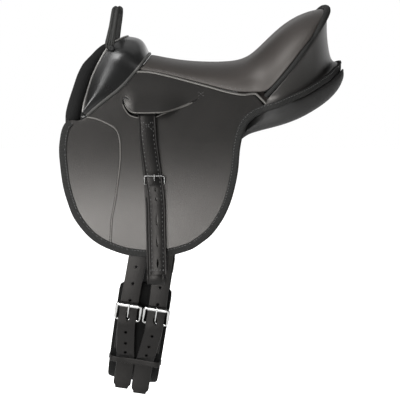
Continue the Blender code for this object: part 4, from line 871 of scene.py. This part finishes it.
radii = [Vector((r / 1000, 0, 0)) for r in FACING_RADIUS[::-1] + FACING_RADIUS[1:]]
roll = piping("front_facing_roll", roll_line, [r.x for r in dense_line(radii, FACING_STEPS)], FACING_SIDES)
facing_cloth, shader, place, uv = new_finish(
    "facing_cloth", FACING_BLACK, Roughness=0.9, Specular_IOR_Level=0.15
)
finished(shader, Normal=raised(place, noise(place, 700), 0.0003))
fitted(roll, "root", "soft_facing", facing_cloth, "front_facing")


# Cantle: the back of the high seat, leather drawn over the tree from the seat's rim to the ledge. The
# same tape as on the flaps binds seat and back together along the rim, at its widest over the top.
CANTLE_RIM = (
    (91, 93, 42), (104, 98, 57), (117, 100, 72), (130, 99, 88), (143, 95, 105), (155, 86, 121),
    (164, 83.7, 134.7), (170, 76.7, 144.3), (175, 65.2, 151.7), (178.6, 49.4, 157.1), (180.8, 29.2, 160.4),
    (181.5, 0, 161.5),
)
RIM_BIND_RADIUS = (0.0032, 0.0046)
RIM_BIND_LEVELS = (0.12, 0.155)
RIM_BIND_STEP = 0.004
RIM_BIND_SIDES = 12
cantle = softened(copied("cantle_cover", "cantle_back"), SEAT_LEVELS)
fitted(cantle, "root", "smooth_leather", satin_leather, "cantle_cover")
rim = smooth_line(over_arch(mm(CANTLE_RIM)[::-1]), RIM_BIND_STEP)
slim, full = RIM_BIND_RADIUS
radii = [slim + (full - slim) * clamped(p.z, *RIM_BIND_LEVELS) for p in rim]
rim_tape = piping("cantle_rim_tape", rim, radii, RIM_BIND_SIDES)
fitted(rim_tape, "root", "ribbed_tape", ribbed_tape, "cantle_binding")


# Welts: leather folded round a cord and sewn in where a skirt meets the seat. Each has a row of
# stitches through the seat above it, and turns down beside the cantle at its rear end.
WELT_LINE = (
    (-91, 74), (-70, 73), (-45, 68), (-18, 61.5), (10, 54.5), (36, 47.5), (60, 43.5), (77, 45), (82, 41),
    (88, 35.5), (95, 28),
)
WELT_RADIUS = 0.002
WELT_SINK = 0.0008
WELT_STITCH_RISE = 0.0075
WELT_SEWN = 7
WELT_STEP = 0.004
for label, side in SIDES:
    line = side_line(WELT_LINE, SKIN_OUT - WELT_SINK, side, WELT_STEP)
    welt = piping("seat_welt_" + label, line, WELT_RADIUS)
    row, outs = [], []
    for place in side_line(WELT_LINE[:WELT_SEWN], SKIN_OUT, side, STITCH_PITCH):
        _, spot, out, _ = seat.closest_point_on_mesh(place + Vector((0, 0, WELT_STITCH_RISE)))
        row.append(spot)
        outs.append(out)
    stitches = sewn("welt_stitches_" + label, marks_along(row, outs, STITCH_PITCH))
    fitted(stitches, "root", "smooth_leather", thread)
    fitted(welt, "root", "smooth_leather", burnished_edge_and_highlight, "seat_piping_" + label)


# Corner linings: between seat, cantle and flap the seat's leather is turned in under the welt, so
# nobody looks through the corner into the tree.
LINING_LINE = ((52, 44.5), (62, 43), (74, 44.5), (81, 41), (88, 35), (95, 28))
LINING_SINK = 0.003
LINING_ROWS = 4
LINING_STEP = (0.0035, 0.003)
LINING_THICK = 0.0012
for label, side in SIDES:
    start = side_line(LINING_LINE, SKIN_OUT - LINING_SINK, side, CUT_STEP)
    inward, rise = LINING_STEP
    lining = grid_piece(
        "corner_lining_" + label, len(start) - 1, LINING_ROWS,
        lambda column, row: start[column] + Vector((0, -side * inward * row, rise * row)),
    )
    modified(lining, "SOLIDIFY", thickness=LINING_THICK, offset=-1)
    fitted(lining, "root", "smooth_leather", seat_leather)


# Panels: the two long cushions that lie on the pony's back, on each side of its spine. They are thin
# leather stuffed with flock, nailed under the tree, and only their rear ends show below the tape.
PANEL_BLACK = (0.008, 0.0078, 0.0075)
PANEL_LEVELS = 2
PANEL_GRAIN = 900
panel_cloth, shader, place, uv = new_finish(
    "panel_leather", PANEL_BLACK, Roughness=0.6, Specular_IOR_Level=0.3
)
finished(shader, Normal=raised(place, cells(place, PANEL_GRAIN), 0.0002))
for label, side in SIDES:
    panel = softened(copied("panel_" + label, "stuffed_panel_" + label), PANEL_LEVELS)
    fitted(panel, "root", "panel_cloth", panel_cloth, "panel_" + label)


# Stirrup leathers: one strap on each side, hung on the tree's bar. It comes out of the slit, runs down
# and back up through the stirrup's eye, and its free end goes through the buckle and down in front.
LEATHER_LINE = ((34, -73.5), (18, -73), (-15, -70.5), (-43, -66.5), (-67, -62.5), (-100, -60), (-210, -58))
LEATHER_WIDE = 0.0236
LEATHER_THICK = 0.0023
BACK_LEG = 10.65
FRONT_LEG = 13.45
FREE_END = 16.25
LEG_SHIFT = -2.4
FREE_SHIFT = 1.2
BINDING_STAND = 1.35
BINDING_LEVELS = (-115, -152)
LEATHER_TOP = 20
LEATHER_BUCKLE = -67
LEATHER_END = -193
LEATHER_LOOP = -208
LEATHER_EYE = 5.2
LEATHER_HOLES = ((-79, 2.8), (-92, 2.6), (-120, 7.2), (-148, 8), (-178, 6))
LEATHER_HOLE_HALF = 1.4
BOX_TACK = (0, 4)
BOX_TACK_HALF = (6.5, 5.5)
BOX_TACK_COUNT = 4
LEATHER_STITCH_IN = 0.0042
LEATHER_SEWN_FROM = 2
LEATHER_SEWN_TO = 0.012
LEATHER_END_HALF = 9
CREASE_IN = 0.0026
CREASE_WIDE = 0.0005
CREASE_DEEP = 0.00035
STRAP_PITCH = 0.003
TIP_BLUNT = 0.72
HOLE_REACH = 0.0085


def read_off(points, x):
    """The value at x on a line of straight runs through (x, value) points, x falling."""
    for (x0, y0), (x1, y1) in zip(points, points[1:]):
        if x >= x1:
            break
    return y0 + (y1 - y0) * clamped(x, x0, x1)


def strap_section(width, thick, creased=True):
    """A strap's rounded edges, flat faces and the crease along both edges of its outer face."""
    half, flat = width / 2, thick / 2
    edge = [(half, flat * 0.4), (half - flat * 0.25, flat * 0.85), (half - flat * 0.8, flat)]
    crease = [(half - CREASE_IN + shift, flat - drop) for shift, drop in
              ((CREASE_WIDE, 0), (0, CREASE_DEEP if creased else 0), (-CREASE_WIDE, 0))]
    outer = edge + crease + [(0, flat)]
    outer += [(-a, b) for a, b in outer[-2::-1]]
    inner = [(a, -b) for a, b in edge + [(0, flat)]]
    inner += [(-a, b) for a, b in inner[-2::-1]]
    return outer + inner[::-1]


def strap_stations(line, side):
    """Stations of a strap that lies across the saddle's length, its outer face away from the pony."""
    stations = []
    for point, way in zip(line, ways(line)):
        across = (Vector((1, 0, 0)) - way * way.x).normalized()
        stations.append((point, across, way.cross(across) * side))
    return stations


def strap(name, line, side, width, thick, tip=False):
    """A flat strap with a crease along both edges. With a tip, its last end is cut round."""
    section = strap_section(width, thick)
    sections = []
    for point in line:
        left = (point - line[-1]).length / (width / 3)
        share = sqrt(max(1 - (1 - left) ** 2, TIP_BLUNT ** 2)) if tip and left < 1 else 1
        sections.append([(a * share, b) for a, b in section])
    return swept(name, strap_stations(line, side), sections)


def punched(piece, place, wide, tall, reach):
    """Punch one round or oblong hole through a strap, across the saddle."""
    bpy.ops.mesh.primitive_cylinder_add(
        vertices=24, radius=1, depth=2 * reach, location=place, rotation=(pi / 2, 0, 0)
    )
    cutter = bpy.context.object
    cutter.scale = (wide, tall, 1)
    modified(piece, "BOOLEAN", operation="DIFFERENCE", object=cutter)
    bpy.data.objects.remove(cutter)


def leather_place(layer, z, shift, side):
    """A place on a leather, in millimetres from the pony's side. Low down it stands off the flap's tape."""
    x = read_off(LEATHER_LINE, z) + shift
    return on_side(x / 1000, z / 1000, (layer + BINDING_STAND * clamped(z, *BINDING_LEVELS)) / 1000, side)


def leather_run():
    """(layer, height, sideways shift) from the free end up over the bar, down to the eye and back."""
    middle = (BACK_LEG + FRONT_LEG) / 2
    run = [(FREE_END + 2.9, LEATHER_END, FREE_SHIFT), (FREE_END + 2.3, LEATHER_END + 5, FREE_SHIFT)]
    run += [(FREE_END, z, FREE_SHIFT) for z in range(LEATHER_END + 28, LEATHER_BUCKLE - 18, 10)]
    run += [(FREE_END + 2.1, LEATHER_BUCKLE - 10, 0.8), (FREE_END + 2.1, LEATHER_BUCKLE - 6, 0.6)]
    run += [(FRONT_LEG + 0.7, LEATHER_BUCKLE + 5, 0)]
    run += [(FRONT_LEG, z, 0) for z in range(LEATHER_BUCKLE + 9, LEATHER_TOP - 2, 10)]
    run += [(FRONT_LEG, LEATHER_TOP - 2, 0), (FRONT_LEG - 0.9, LEATHER_TOP, 0)]
    run += [(BACK_LEG + 0.9, LEATHER_TOP, 0)]
    leg = [(BACK_LEG, z, LEG_SHIFT * clamped(z, 0, -60)) for z in range(LEATHER_LOOP + 22, LEATHER_TOP, 12)]
    run += leg[::-1]
    for reach, rise in ((-0.78, 15), (-1, 8), (-0.7, 2.5), (0, 0), (0.7, 2.5), (1, 8), (0.78, 15)):
        run.append((middle + LEATHER_EYE * reach, LEATHER_LOOP + rise, LEG_SHIFT))
    run += [(FRONT_LEG, z, LEG_SHIFT) for z in range(LEATHER_LOOP + 22, LEATHER_BUCKLE - 11, 12)]
    return run


strap_leather = skin_finish(
    "strap_leather", (0.003, 0.003, 0.003), (0.0065, 0.0062, 0.006), roughness=0.36, gloss=0.1, pebble=0.0007
)
for label, side in SIDES:
    line = smooth_line([leather_place(*step, side) for step in leather_run()], STRAP_PITCH)
    leather = strap("stirrup_leather_" + label, line, side, LEATHER_WIDE, LEATHER_THICK)
    for z, half_tall in LEATHER_HOLES:
        hole = leather_place(FREE_END - 1, z, FREE_SHIFT, side)
        punched(leather, hole, LEATHER_HOLE_HALF / 1000, half_tall / 1000, HOLE_REACH)
    fitted(leather, "stirrup_leather_" + label, "strap_leather", strap_leather, "stirrup_leather_" + label)
    outs = [out for middle, across, out in strap_stations(line, side)]
    middles = [p + out * (LEATHER_THICK / 2) for p, out in zip(line, outs)]
    for shift in (-1, 1):
        row = [p + Vector((shift * (LEATHER_WIDE / 2 - LEATHER_STITCH_IN), 0, 0)) for p in middles]
        last = next(i for i, p in enumerate(row) if p.z > LEATHER_SEWN_TO)
        marks = marks_along(row[LEATHER_SEWN_FROM:last], outs[LEATHER_SEWN_FROM:last], STITCH_PITCH)
        stitches = sewn(f"leather_stitches_{shift + 2}_{label}", marks)
        fitted(stitches, "stirrup_leather_" + label, "strap_leather", thread)
    middle, out = middles[LEATHER_SEWN_FROM], outs[LEATHER_SEWN_FROM]
    ends = [middle + Vector((a / 1000, 0, 0)) for a in range(-LEATHER_END_HALF, LEATHER_END_HALF + 1)]
    stitches = sewn("leather_end_stitches_" + label, marks_along(ends, [out] * len(ends), STITCH_PITCH))
    fitted(stitches, "stirrup_leather_" + label, "strap_leather", thread)

    def leather_spot(across, z):
        return leather_place(FRONT_LEG + LEATHER_THICK * 1000 / 2, z, across, side), outward(z / 1000, side)

    tack = sewn("leather_tack_" + label, cross_marks(leather_spot, BOX_TACK, *BOX_TACK_HALF, BOX_TACK_COUNT))
    fitted(tack, "stirrup_leather_" + label, "strap_leather", thread)


# Stirrup buckles: a small frame of dark nickel-plated steel on each leather, at the end that comes back
# up from the stirrup. Its prong turns on the lower bar and holds the free end by one of its holes.
BUCKLE_HALF = 0.0135
BUCKLE_SPAN_Z = (-0.0735, -0.0615)
BUCKLE_CORNER = 0.0022
BUCKLE_WIRE = 0.001
BUCKLE_LAYERS = (0.01365, 0.0163)
BUCKLE_SHIFT = 0.0005
CORNER_STEPS = 6
PRONG_RADIUS = 0.0009
PRONG_LOOSE = 0.00025
PRONG_REST = 0.00035
PRONG_STEP = 0.0012
PRONG_TIP = 0.0022
PRONG_DIP = 0.0003
PRONG_TURNS = range(245, 386, 20)


def ring(name, line, facing, radius, sides=12):
    """A closed round bar along a line that lies about flat, facing being square to it."""
    count = len(line)
    stations = []
    for i in range(count):
        way = (line[(i + 1) % count] - line[i - 1]).normalized()
        across = (facing - way * way.dot(facing)).normalized()
        stations.append((line[i], across, way.cross(across)))
    return swept(name, stations + stations[:1], [round_section(radius, sides)] * (count + 1), capped=False)


def frame_outline(half_width, half_height, corner):
    """A rounded rectangle as (across, up)."""
    points = []
    for k, (right, top) in enumerate(((1, 1), (-1, 1), (-1, -1), (1, -1))):
        for i in range(CORNER_STEPS + 1):
            turn = radians(90 * (k + i / CORNER_STEPS))
            across = right * (half_width - corner) + corner * cos(turn)
            points.append((across, top * (half_height - corner) + corner * sin(turn)))
    return points


def metal_finish(name, colour, roughness):
    """Plated steel, with faint wear marks in its polish."""
    made, shader, place, uv = new_finish(name, colour, Metallic=1.0)
    marks = noise(place, 500, 4.0)
    finished(shader, Roughness=roughness + marks * 0.1, Normal=raised(place, marks, 0.00008, 0.5))
    return made


nickel = metal_finish("dark_nickel", (0.1, 0.1, 0.098), 0.2)
for label, side in SIDES:
    low_z, high_z = BUCKLE_SPAN_Z
    half_high = (high_z - low_z) / 2
    x = read_off(LEATHER_LINE, LEATHER_BUCKLE) / 1000 + BUCKLE_SHIFT
    low_layer, high_layer = BUCKLE_LAYERS
    line = []
    for across, up in frame_outline(BUCKLE_HALF, half_high, BUCKLE_CORNER):
        share = (up + half_high) / (2 * half_high)
        layer = low_layer + share * (high_layer - low_layer)
        line.append(on_side(x + across, low_z + share * (high_z - low_z), layer, side))
    frame_bar = ring("leather_buckle_" + label, line, outward(low_z, side), BUCKLE_WIRE)
    fitted(frame_bar, "stirrup_leather_" + label, "chromed_steel", nickel, "stirrup_buckle_" + label)
    low = on_side(x, low_z, low_layer, side)
    tip = on_side(x, high_z, high_layer + BUCKLE_WIRE + PRONG_REST + PRONG_RADIUS, side)
    bend = BUCKLE_WIRE + PRONG_LOOSE + PRONG_RADIUS
    turns = [radians(degrees) for degrees in PRONG_TURNS]
    hook = [low + Vector((0, side * bend * cos(turn), bend * sin(turn))) for turn in turns]
    end = tip + Vector((0, -side * PRONG_DIP, PRONG_TIP))
    prong = piping("leather_prong_" + label, smooth_line(hook + [tip, end], PRONG_STEP), PRONG_RADIUS)
    fitted(prong, "stirrup_buckle_tongue_" + label, "chromed_steel", nickel, "stirrup_buckle_tongue_" + label)


# Billets: two girth straps on each side, nailed to the tree under the skirt, which come out below the
# flap. They are punched for the buckle's tongue and lean back a little with the girth.
GIRTH_X = -80.5
GIRTH_LEAN = 0.16
BUCKLE_LEVEL = -255
LEAN_LEVELS = (-100, -200)
BARREL_HALF = 146
ROOM_UNDER_BILLET = 10.0
PAD_THICK = 10
PAD_DROP = 145
PAD_MIDDLE_Z = -245
PAD_SQUARENESS = 2.35
RAIL_Z = 33
RAIL_IN = 4.9
RAIL_TO_BILLET = 2.25
BILLET_WIDE = 0.025
BILLET_THICK = 0.003
BILLET_SPACINGS = ((-185, 35.4), (-225, 38.6), (-279, 38.6), (-333, 26.6))
BILLET_CLEAR = 11.85
BILLET_KEPT = -333
BILLET_ENDS = (("front", -1, -375), ("rear", 1, -379))
BILLET_HOLE = 0.0022
BILLET_SLOT = (0.0026, 0.0068)
BILLET_REACH = 0.007
HOLE_LEVEL = BUCKLE_LEVEL - 6
HOLE_RISES = (-57, -42, -24, 0, 24, 48, 72)
MIDDLE = 1.5


def leaned(x, y, z):
    """A place on the upright girth in millimetres, turned as the girth hangs, in metres."""
    turn = atan(GIRTH_LEAN)
    share = clamped(z, *LEAN_LEVELS)
    across, up = x - GIRTH_X, z - BUCKLE_LEVEL
    scale = 1 + (cos(turn) - 1) * share
    leaned_z = BUCKLE_LEVEL + up * scale - across * sin(turn) * share
    return Vector((GIRTH_X + across * scale + up * sin(turn), y, leaned_z)) / 1000


def side_y(z, layer):
    """The pony's half-width at height z, moved out by layer, in millimetres."""
    return drape(z / 1000, layer / 1000) * 1000


def pad_y(z, layer):
    """Half-width of the girth pad's middle at height z, moved out by layer, in millimetres."""
    middle = BARREL_HALF - ROOM_UNDER_BILLET - PAD_THICK / 2
    drop = max(PAD_MIDDLE_Z - z, 0) / PAD_DROP
    return middle * (1 - drop ** PAD_SQUARENESS) ** (1 / PAD_SQUARENESS) + layer


def billet_run(end_z):
    """(y, height) of a billet's middle, from the tree's rail to its free end."""
    rail = side_y(RAIL_Z, -RAIL_IN) + RAIL_TO_BILLET
    run = [(rail, 22), (rail, 8)]
    run += [(side_y(z, MIDDLE), z) for z in (-12, -40, -80, -120, -160, -200, -230, -263)]
    run += [(side_y(-275, MIDDLE - 0.3), -275)]
    run += [(pad_y(z, BILLET_CLEAR + 1.4), z) for z in (-300, -316)]
    kept = pad_y(BILLET_KEPT, BILLET_CLEAR + 1.6)
    return run + [(kept, BILLET_KEPT), (kept - 2, end_z)]


for label, side in SIDES:
    for end, shift, end_z in BILLET_ENDS:
        tag = f"{end}_{label}"
        run = billet_run(end_z)
        levels = [(z, y) for y, z in run]

        def billet_place(y, z):
            return leaned(GIRTH_X + shift * read_off(BILLET_SPACINGS, z) / 2, side * y, z)

        line = smooth_line([billet_place(y, z) for y, z in run], STRAP_PITCH)
        billet = strap("girth_billet_" + tag, line, side, BILLET_WIDE, BILLET_THICK, tip=True)
        for rise in HOLE_RISES:
            z = HOLE_LEVEL + rise
            wide, tall = BILLET_SLOT if rise == 0 else (BILLET_HOLE, BILLET_HOLE)
            punched(billet, billet_place(read_off(levels, z), z), wide, tall, BILLET_REACH)
        fitted(billet, "girth", "strap_leather", strap_leather, "billet_" + tag)


# Girth buckles: chromed frames whose lower bar is in the pad's leather fold, with a loose roller on
# the upper bar and a tongue that hooks round the lower one and rests on the roller.
GIRTH_BUCKLE_HALF = 16.7
GIRTH_BUCKLE_RISE = 24
GIRTH_BUCKLE_CORNER = 3.2
GIRTH_WIRE = 2.25
BILLET_SPACING = 38.6
UPPER_BAR_Y = BARREL_HALF + 6.55
LOWER_BAR_Y = BARREL_HALF - 5.25
ROLLER_OUT = 3.2
ROLLER_BORE = 2.5
ROLLER_HALF = 13.15
ROLLER_EDGE = 0.4
ROLLER_PROFILE = (
    (-ROLLER_HALF, ROLLER_BORE), (-ROLLER_HALF, ROLLER_OUT - ROLLER_EDGE),
    (ROLLER_EDGE - ROLLER_HALF, ROLLER_OUT), (ROLLER_HALF - ROLLER_EDGE, ROLLER_OUT),
    (ROLLER_HALF, ROLLER_OUT - ROLLER_EDGE), (ROLLER_HALF, ROLLER_BORE), (-ROLLER_HALF, ROLLER_BORE),
)
TONGUE_RADIUS = 1.2
TONGUE_BEND = 3.7
TONGUE_REST = 0.35
TONGUE_STEP = 0.0015
TONGUE_TURNS = range(200, 371, 17)
TAGS = [(f"{end}_{label}", shift, side) for label, side in SIDES for end, shift, end_z in BILLET_ENDS]


def arc(y, z, radius, degrees):
    """(y, height) places on a bend round a bar."""
    return [(y + radius * cos(radians(turn)), z + radius * sin(radians(turn))) for turn in degrees]


def lathed(name, middle, axle, across, profile, capped):
    """A piece turned on a lathe, with an (along, radius) profile in millimetres."""
    stations = [(middle + axle * along / 1000, across, axle.cross(across)) for along, radius in profile]
    return swept(name, stations, [round_section(radius / 1000, 24) for along, radius in profile], capped)


chrome = metal_finish("bright_chrome", (0.3, 0.3, 0.295), 0.14)
for tag, shift, side in TAGS:
    x = GIRTH_X + shift * BILLET_SPACING / 2
    low_z = BUCKLE_LEVEL - GIRTH_BUCKLE_RISE / 2
    high_z = BUCKLE_LEVEL + GIRTH_BUCKLE_RISE / 2
    line = []
    for across, up in frame_outline(GIRTH_BUCKLE_HALF, GIRTH_BUCKLE_RISE / 2, GIRTH_BUCKLE_CORNER):
        y = LOWER_BAR_Y + (UPPER_BAR_Y - LOWER_BAR_Y) * (up / GIRTH_BUCKLE_RISE + 0.5)
        line.append(leaned(x + across, side * y, BUCKLE_LEVEL + up))
    facing = Vector((0, side * GIRTH_BUCKLE_RISE, LOWER_BAR_Y - UPPER_BAR_Y)).normalized()
    frame_bar = ring("buckle_frame_" + tag, line, facing, GIRTH_WIRE / 1000, 14)
    fitted(frame_bar, "girth", "chromed_steel", chrome, "girth_buckle_" + tag)

    middle = leaned(x, side * UPPER_BAR_Y, high_z)
    axle = (leaned(x + 1, side * UPPER_BAR_Y, high_z) - middle).normalized()
    roller = lathed("buckle_roller_" + tag, middle, axle, Vector((0, side, 0)), ROLLER_PROFILE, capped=False)
    fitted(roller, "girth_roller_" + tag, "chromed_steel", chrome, "girth_roller_" + tag)

    tip_y = UPPER_BAR_Y + ROLLER_OUT + TONGUE_REST + TONGUE_RADIUS
    hook = arc(LOWER_BAR_Y, low_z, TONGUE_BEND, TONGUE_TURNS)
    hook += [(tip_y, high_z - 2), (tip_y, high_z + 3)]
    line = smooth_line([leaned(x, side * y, z) for y, z in hook], TONGUE_STEP)
    tongue = piping("buckle_tongue_" + tag, line, TONGUE_RADIUS / 1000)
    fitted(tongue, "girth_tongue_" + tag, "chromed_steel", chrome, "girth_tongue_" + tag)


# Girth: a padded belt under the pony's belly, covered in brushed cloth. A leather fold for each buckle
# is sewn to its ends, and a leather keeper over each end holds the billets' loose ends down.
PAD_HALF = 37
PAD_TOP = -212
CHAPE_WIDE = 0.025
CHAPE_THICK = 1.8
CHAPE_LAYERS = (6.25, 8.55)
CHAPE_LEVELS = (-314, -300, -285)
CHAPE_BEND = 3.5
CHAPE_TURNS = range(180, -1, -20)
CHAPE_SLOT = (0.0032, 0.009)
CHAPE_REACH = 0.009
CHAPE_STEP = 0.0025
KEEPER_SPAN_Z = (-334, -326)
KEEPER_THICK = 1.6
KEEPER_OVER = 0.75
KEEPER_UNDER = 0.35
KEEPER_STEP = 0.002
KEEPER_FLAT = 0.2
PAD_STEPS = 24
PAD_SIDES = 36
PAD_CORNERS = (0.35, 0.75)
CLOTH_BLACK = (0.003, 0.003, 0.003)


def squared(value, power):
    """A share from -1 to 1 pushed out towards its ends, so that an oval gets flat sides."""
    return abs(value) ** power * (1 if value > 0 else -1)


side_run = [(pad_y(PAD_TOP, 0), PAD_TOP), (pad_y(-228, 0), -228)]
for k in range(PAD_STEPS + 1):
    z = PAD_MIDDLE_Z - PAD_DROP * sin(pi / 2 * k / PAD_STEPS)
    side_run.append((pad_y(z, 0), z))
belt = side_run + [(-y, z) for y, z in side_run[-2::-1]]
line = [leaned(GIRTH_X, y, z) for y, z in belt]
stations = []
for (y, z), middle, way in zip(belt, line, ways(line)):
    across = leaned(GIRTH_X + 1, y, z) - middle
    across = (across - way * across.dot(way)).normalized()
    stations.append((middle, across, way.cross(across)))
across_power, thick_power = PAD_CORNERS
section = [
    (PAD_HALF / 1000 * squared(a, across_power), PAD_THICK / 2000 * squared(b, thick_power))
    for a, b in round_section(1, PAD_SIDES)
]
belt_pad = swept("girth_belt", stations, [section] * len(stations))
softened(belt_pad, 1)
brushed_cloth, shader, place, uv = new_finish(
    "brushed_girth_cloth", CLOTH_BLACK, Roughness=0.95, Specular_IOR_Level=0.06
)
nap = noise(place, 1300, 3.0)
patches = noise(place, 90, 3.0)
tone = (nap * 0.6 + patches * 0.4).mixed((0.001, 0.001, 0.001, 1), (0.007, 0.007, 0.0068, 1))
finished(shader, Base_Color=tone, Normal=raised(place, nap * 0.8 + patches * 0.2, 0.0008))
fitted(belt_pad, "girth", "girth_cloth", brushed_cloth, "girth_pad")

for tag, shift, side in TAGS:
    x = GIRTH_X + shift * BILLET_SPACING / 2
    bar_z = BUCKLE_LEVEL - GIRTH_BUCKLE_RISE / 2
    run = [(pad_y(z, CHAPE_LAYERS[0]), z) for z in CHAPE_LEVELS]
    run += arc(LOWER_BAR_Y, bar_z, CHAPE_BEND, CHAPE_TURNS)
    run += [(pad_y(z, CHAPE_LAYERS[1]), z) for z in CHAPE_LEVELS[::-1]]
    line = smooth_line([leaned(x, side * y, z) for y, z in run], CHAPE_STEP)
    chape = strap("buckle_fold_" + tag, line, side, CHAPE_WIDE, CHAPE_THICK / 1000)
    punched(chape, leaned(x, side * LOWER_BAR_Y, bar_z + 0.5), *CHAPE_SLOT, CHAPE_REACH)
    fitted(chape, "girth", "strap_leather", strap_leather, "girth_chape_" + tag)

for label, side in SIDES:
    rear_end = BILLET_ENDS[1][2]
    levels = [(z, y) for y, z in billet_run(rear_end)]
    low_z, high_z = KEEPER_SPAN_Z
    middle_z = (low_z + high_z) / 2
    over = read_off(levels, high_z) + MIDDLE + KEEPER_OVER + KEEPER_THICK / 2
    foot = pad_y(middle_z, PAD_THICK / 2 + KEEPER_UNDER + KEEPER_THICK / 2)
    half_band = [(-PAD_HALF, foot), (-PAD_HALF + 1.2, foot + 1.5), (-PAD_HALF + 3.4, over)]
    band = half_band + [(-12, over), (12, over)] + [(-a, y) for a, y in half_band[::-1]]
    line = smooth_line([leaned(GIRTH_X + a, side * y, middle_z) for a, y in band], KEEPER_STEP)
    up = (leaned(GIRTH_X, side * foot, middle_z + 1) - leaned(GIRTH_X, side * foot, middle_z)).normalized()
    stations = []
    for place, way in zip(line, ways(line)):
        out = way.cross(up)
        out = Vector((0, side, 0)) if abs(way.y) < KEEPER_FLAT else out * (1 if out.y * side > 0 else -1)
        stations.append((place, up, out))
    section = strap_section((high_z - low_z) / 1000, KEEPER_THICK / 1000, creased=False)
    keeper = swept("girth_strap_keeper_" + label, stations, [section] * len(stations))
    fitted(keeper, "girth", "strap_leather", strap_leather, "girth_keeper_" + label)


# Handle: a flat strap of webbing arched over the pommel for a child to hold. It is gathered at both
# feet, where a black screw goes through the pommel into the head plate.
HANDLE_X = -128
HANDLE_RUN = (
    (49.4, 105, -1), (49.4, 110.5, 0), (45.9, 139, 4), (41.4, 153, 5.5), (33.4, 159.5, 6), (23.4, 161, 6),
    (11, 161.8, 6), (0, 162, 6),
)
HANDLE_LEAN = 8.5 / 6
HANDLE_STEP = 0.0025
HANDLE_WIDE = (0.0112, 0.014)
HANDLE_THICK = 0.003
HANDLE_BODY = 0.0002
HANDLE_EDGE = 6
PLEATS = 4
PLEAT_DEEP = 0.0007
GROOVE_DEEP = 0.0006
FOOT_ROUND = 0.009
FOOT_NARROW = 0.6
FACE_STEPS = 24
PLEAT_LEVELS = (0.135, 0.108)
SCREW_PLACE = (-125, 52.75, 106.5)
SCREW_PROFILE = (
    (-12, 0.2), (-12, 2.2), (0, 2.2), (0, 4.2), (0.5, 4.4), (1.2, 4.1), (1.8, 3.2), (2.0, 2.2), (1.9, 1.7),
    (0.9, 1.6), (0.9, 0.2),
)
SCREW_BLACK = (0.004, 0.004, 0.004)

half_run = mm([(HANDLE_X + back * HANDLE_LEAN, y, z) for y, z, back in HANDLE_RUN])
line = smooth_line(half_run + [Vector((p.x, -p.y, p.z)) for p in half_run[-2::-1]], HANDLE_STEP)
narrow, broad = HANDLE_WIDE
sections = []
for p in line:
    pleated = clamped(p.z, *PLEAT_LEVELS)
    near = min((p - line[0]).length, (p - line[-1]).length)
    rounded = FOOT_NARROW + (1 - FOOT_NARROW) * sqrt(clamped(near, 0, FOOT_ROUND))
    wide = (narrow + (broad - narrow) * pleated) * rounded
    face, back = [], []
    for k in range(FACE_STEPS + 1):
        turn = 2 * pi * k / FACE_STEPS
        ridge = PLEAT_DEEP * pleated * cos(PLEATS * turn) - GROOVE_DEEP * (1 - pleated) * cos(2 * turn)
        a = 1 - 2 * k / FACE_STEPS
        edge = sqrt(min(1, (1 - abs(a)) * HANDLE_EDGE))
        face.append((a * wide / 2, (HANDLE_THICK / 2 + ridge) * edge + HANDLE_BODY))
        back.append((a * wide / 2, -HANDLE_THICK / 2 * edge - HANDLE_BODY))
    sections.append(face + back[::-1])
webbing = ribbed_finish("handle_webbing", (0.02, 0.02, 0.019), 0.0016)
grab = swept("grab_handle", strap_stations(line, 1), sections)
fitted(grab, "handle", "ribbed_tape", webbing, "handle")
screw_black, shader, place, uv = new_finish("blackened_screw", SCREW_BLACK, Specular_IOR_Level=0.2)
finished(shader, Roughness=noise(place, 700) * 0.2 + 0.55)
x, y, z = SCREW_PLACE
for label, side in SIDES:
    under_head, axle, across = Vector((x, side * y, z)) / 1000, Vector((0, side, 0)), Vector((1, 0, 0))
    screw = lathed("handle_screw_head_" + label, under_head, axle, across, SCREW_PROFILE, capped=True)
    fitted(screw, "root", "gloss_moulding", screw_black, "handle_screw_" + label)


# Inside: the moulded tree and its steel head plate, the stirrup bars, the straps' loops round them, and
# the leather sweat flaps that lie between the billets and the pony.
steel = metal_finish("pressed_steel", (0.35, 0.35, 0.36), 0.35)
nylon, shader, place, uv = new_finish("moulded_nylon", (0.06, 0.06, 0.06), Roughness=0.5)
finished(shader, Roughness=noise(place, 80) * 0.2 + 0.4, Normal=raised(place, noise(place, 600), 0.0001))
for name, finish in (
    ("tree", nylon), ("head_plate", steel), ("stirrup_bar_left", steel), ("stirrup_bar_right", steel),
    ("leather_loop_left", strap_leather), ("leather_loop_right", strap_leather),
    ("sweat_flap_left", strap_leather), ("sweat_flap_right", strap_leather),
):
    nodes[name].material_slots[0].material = finish
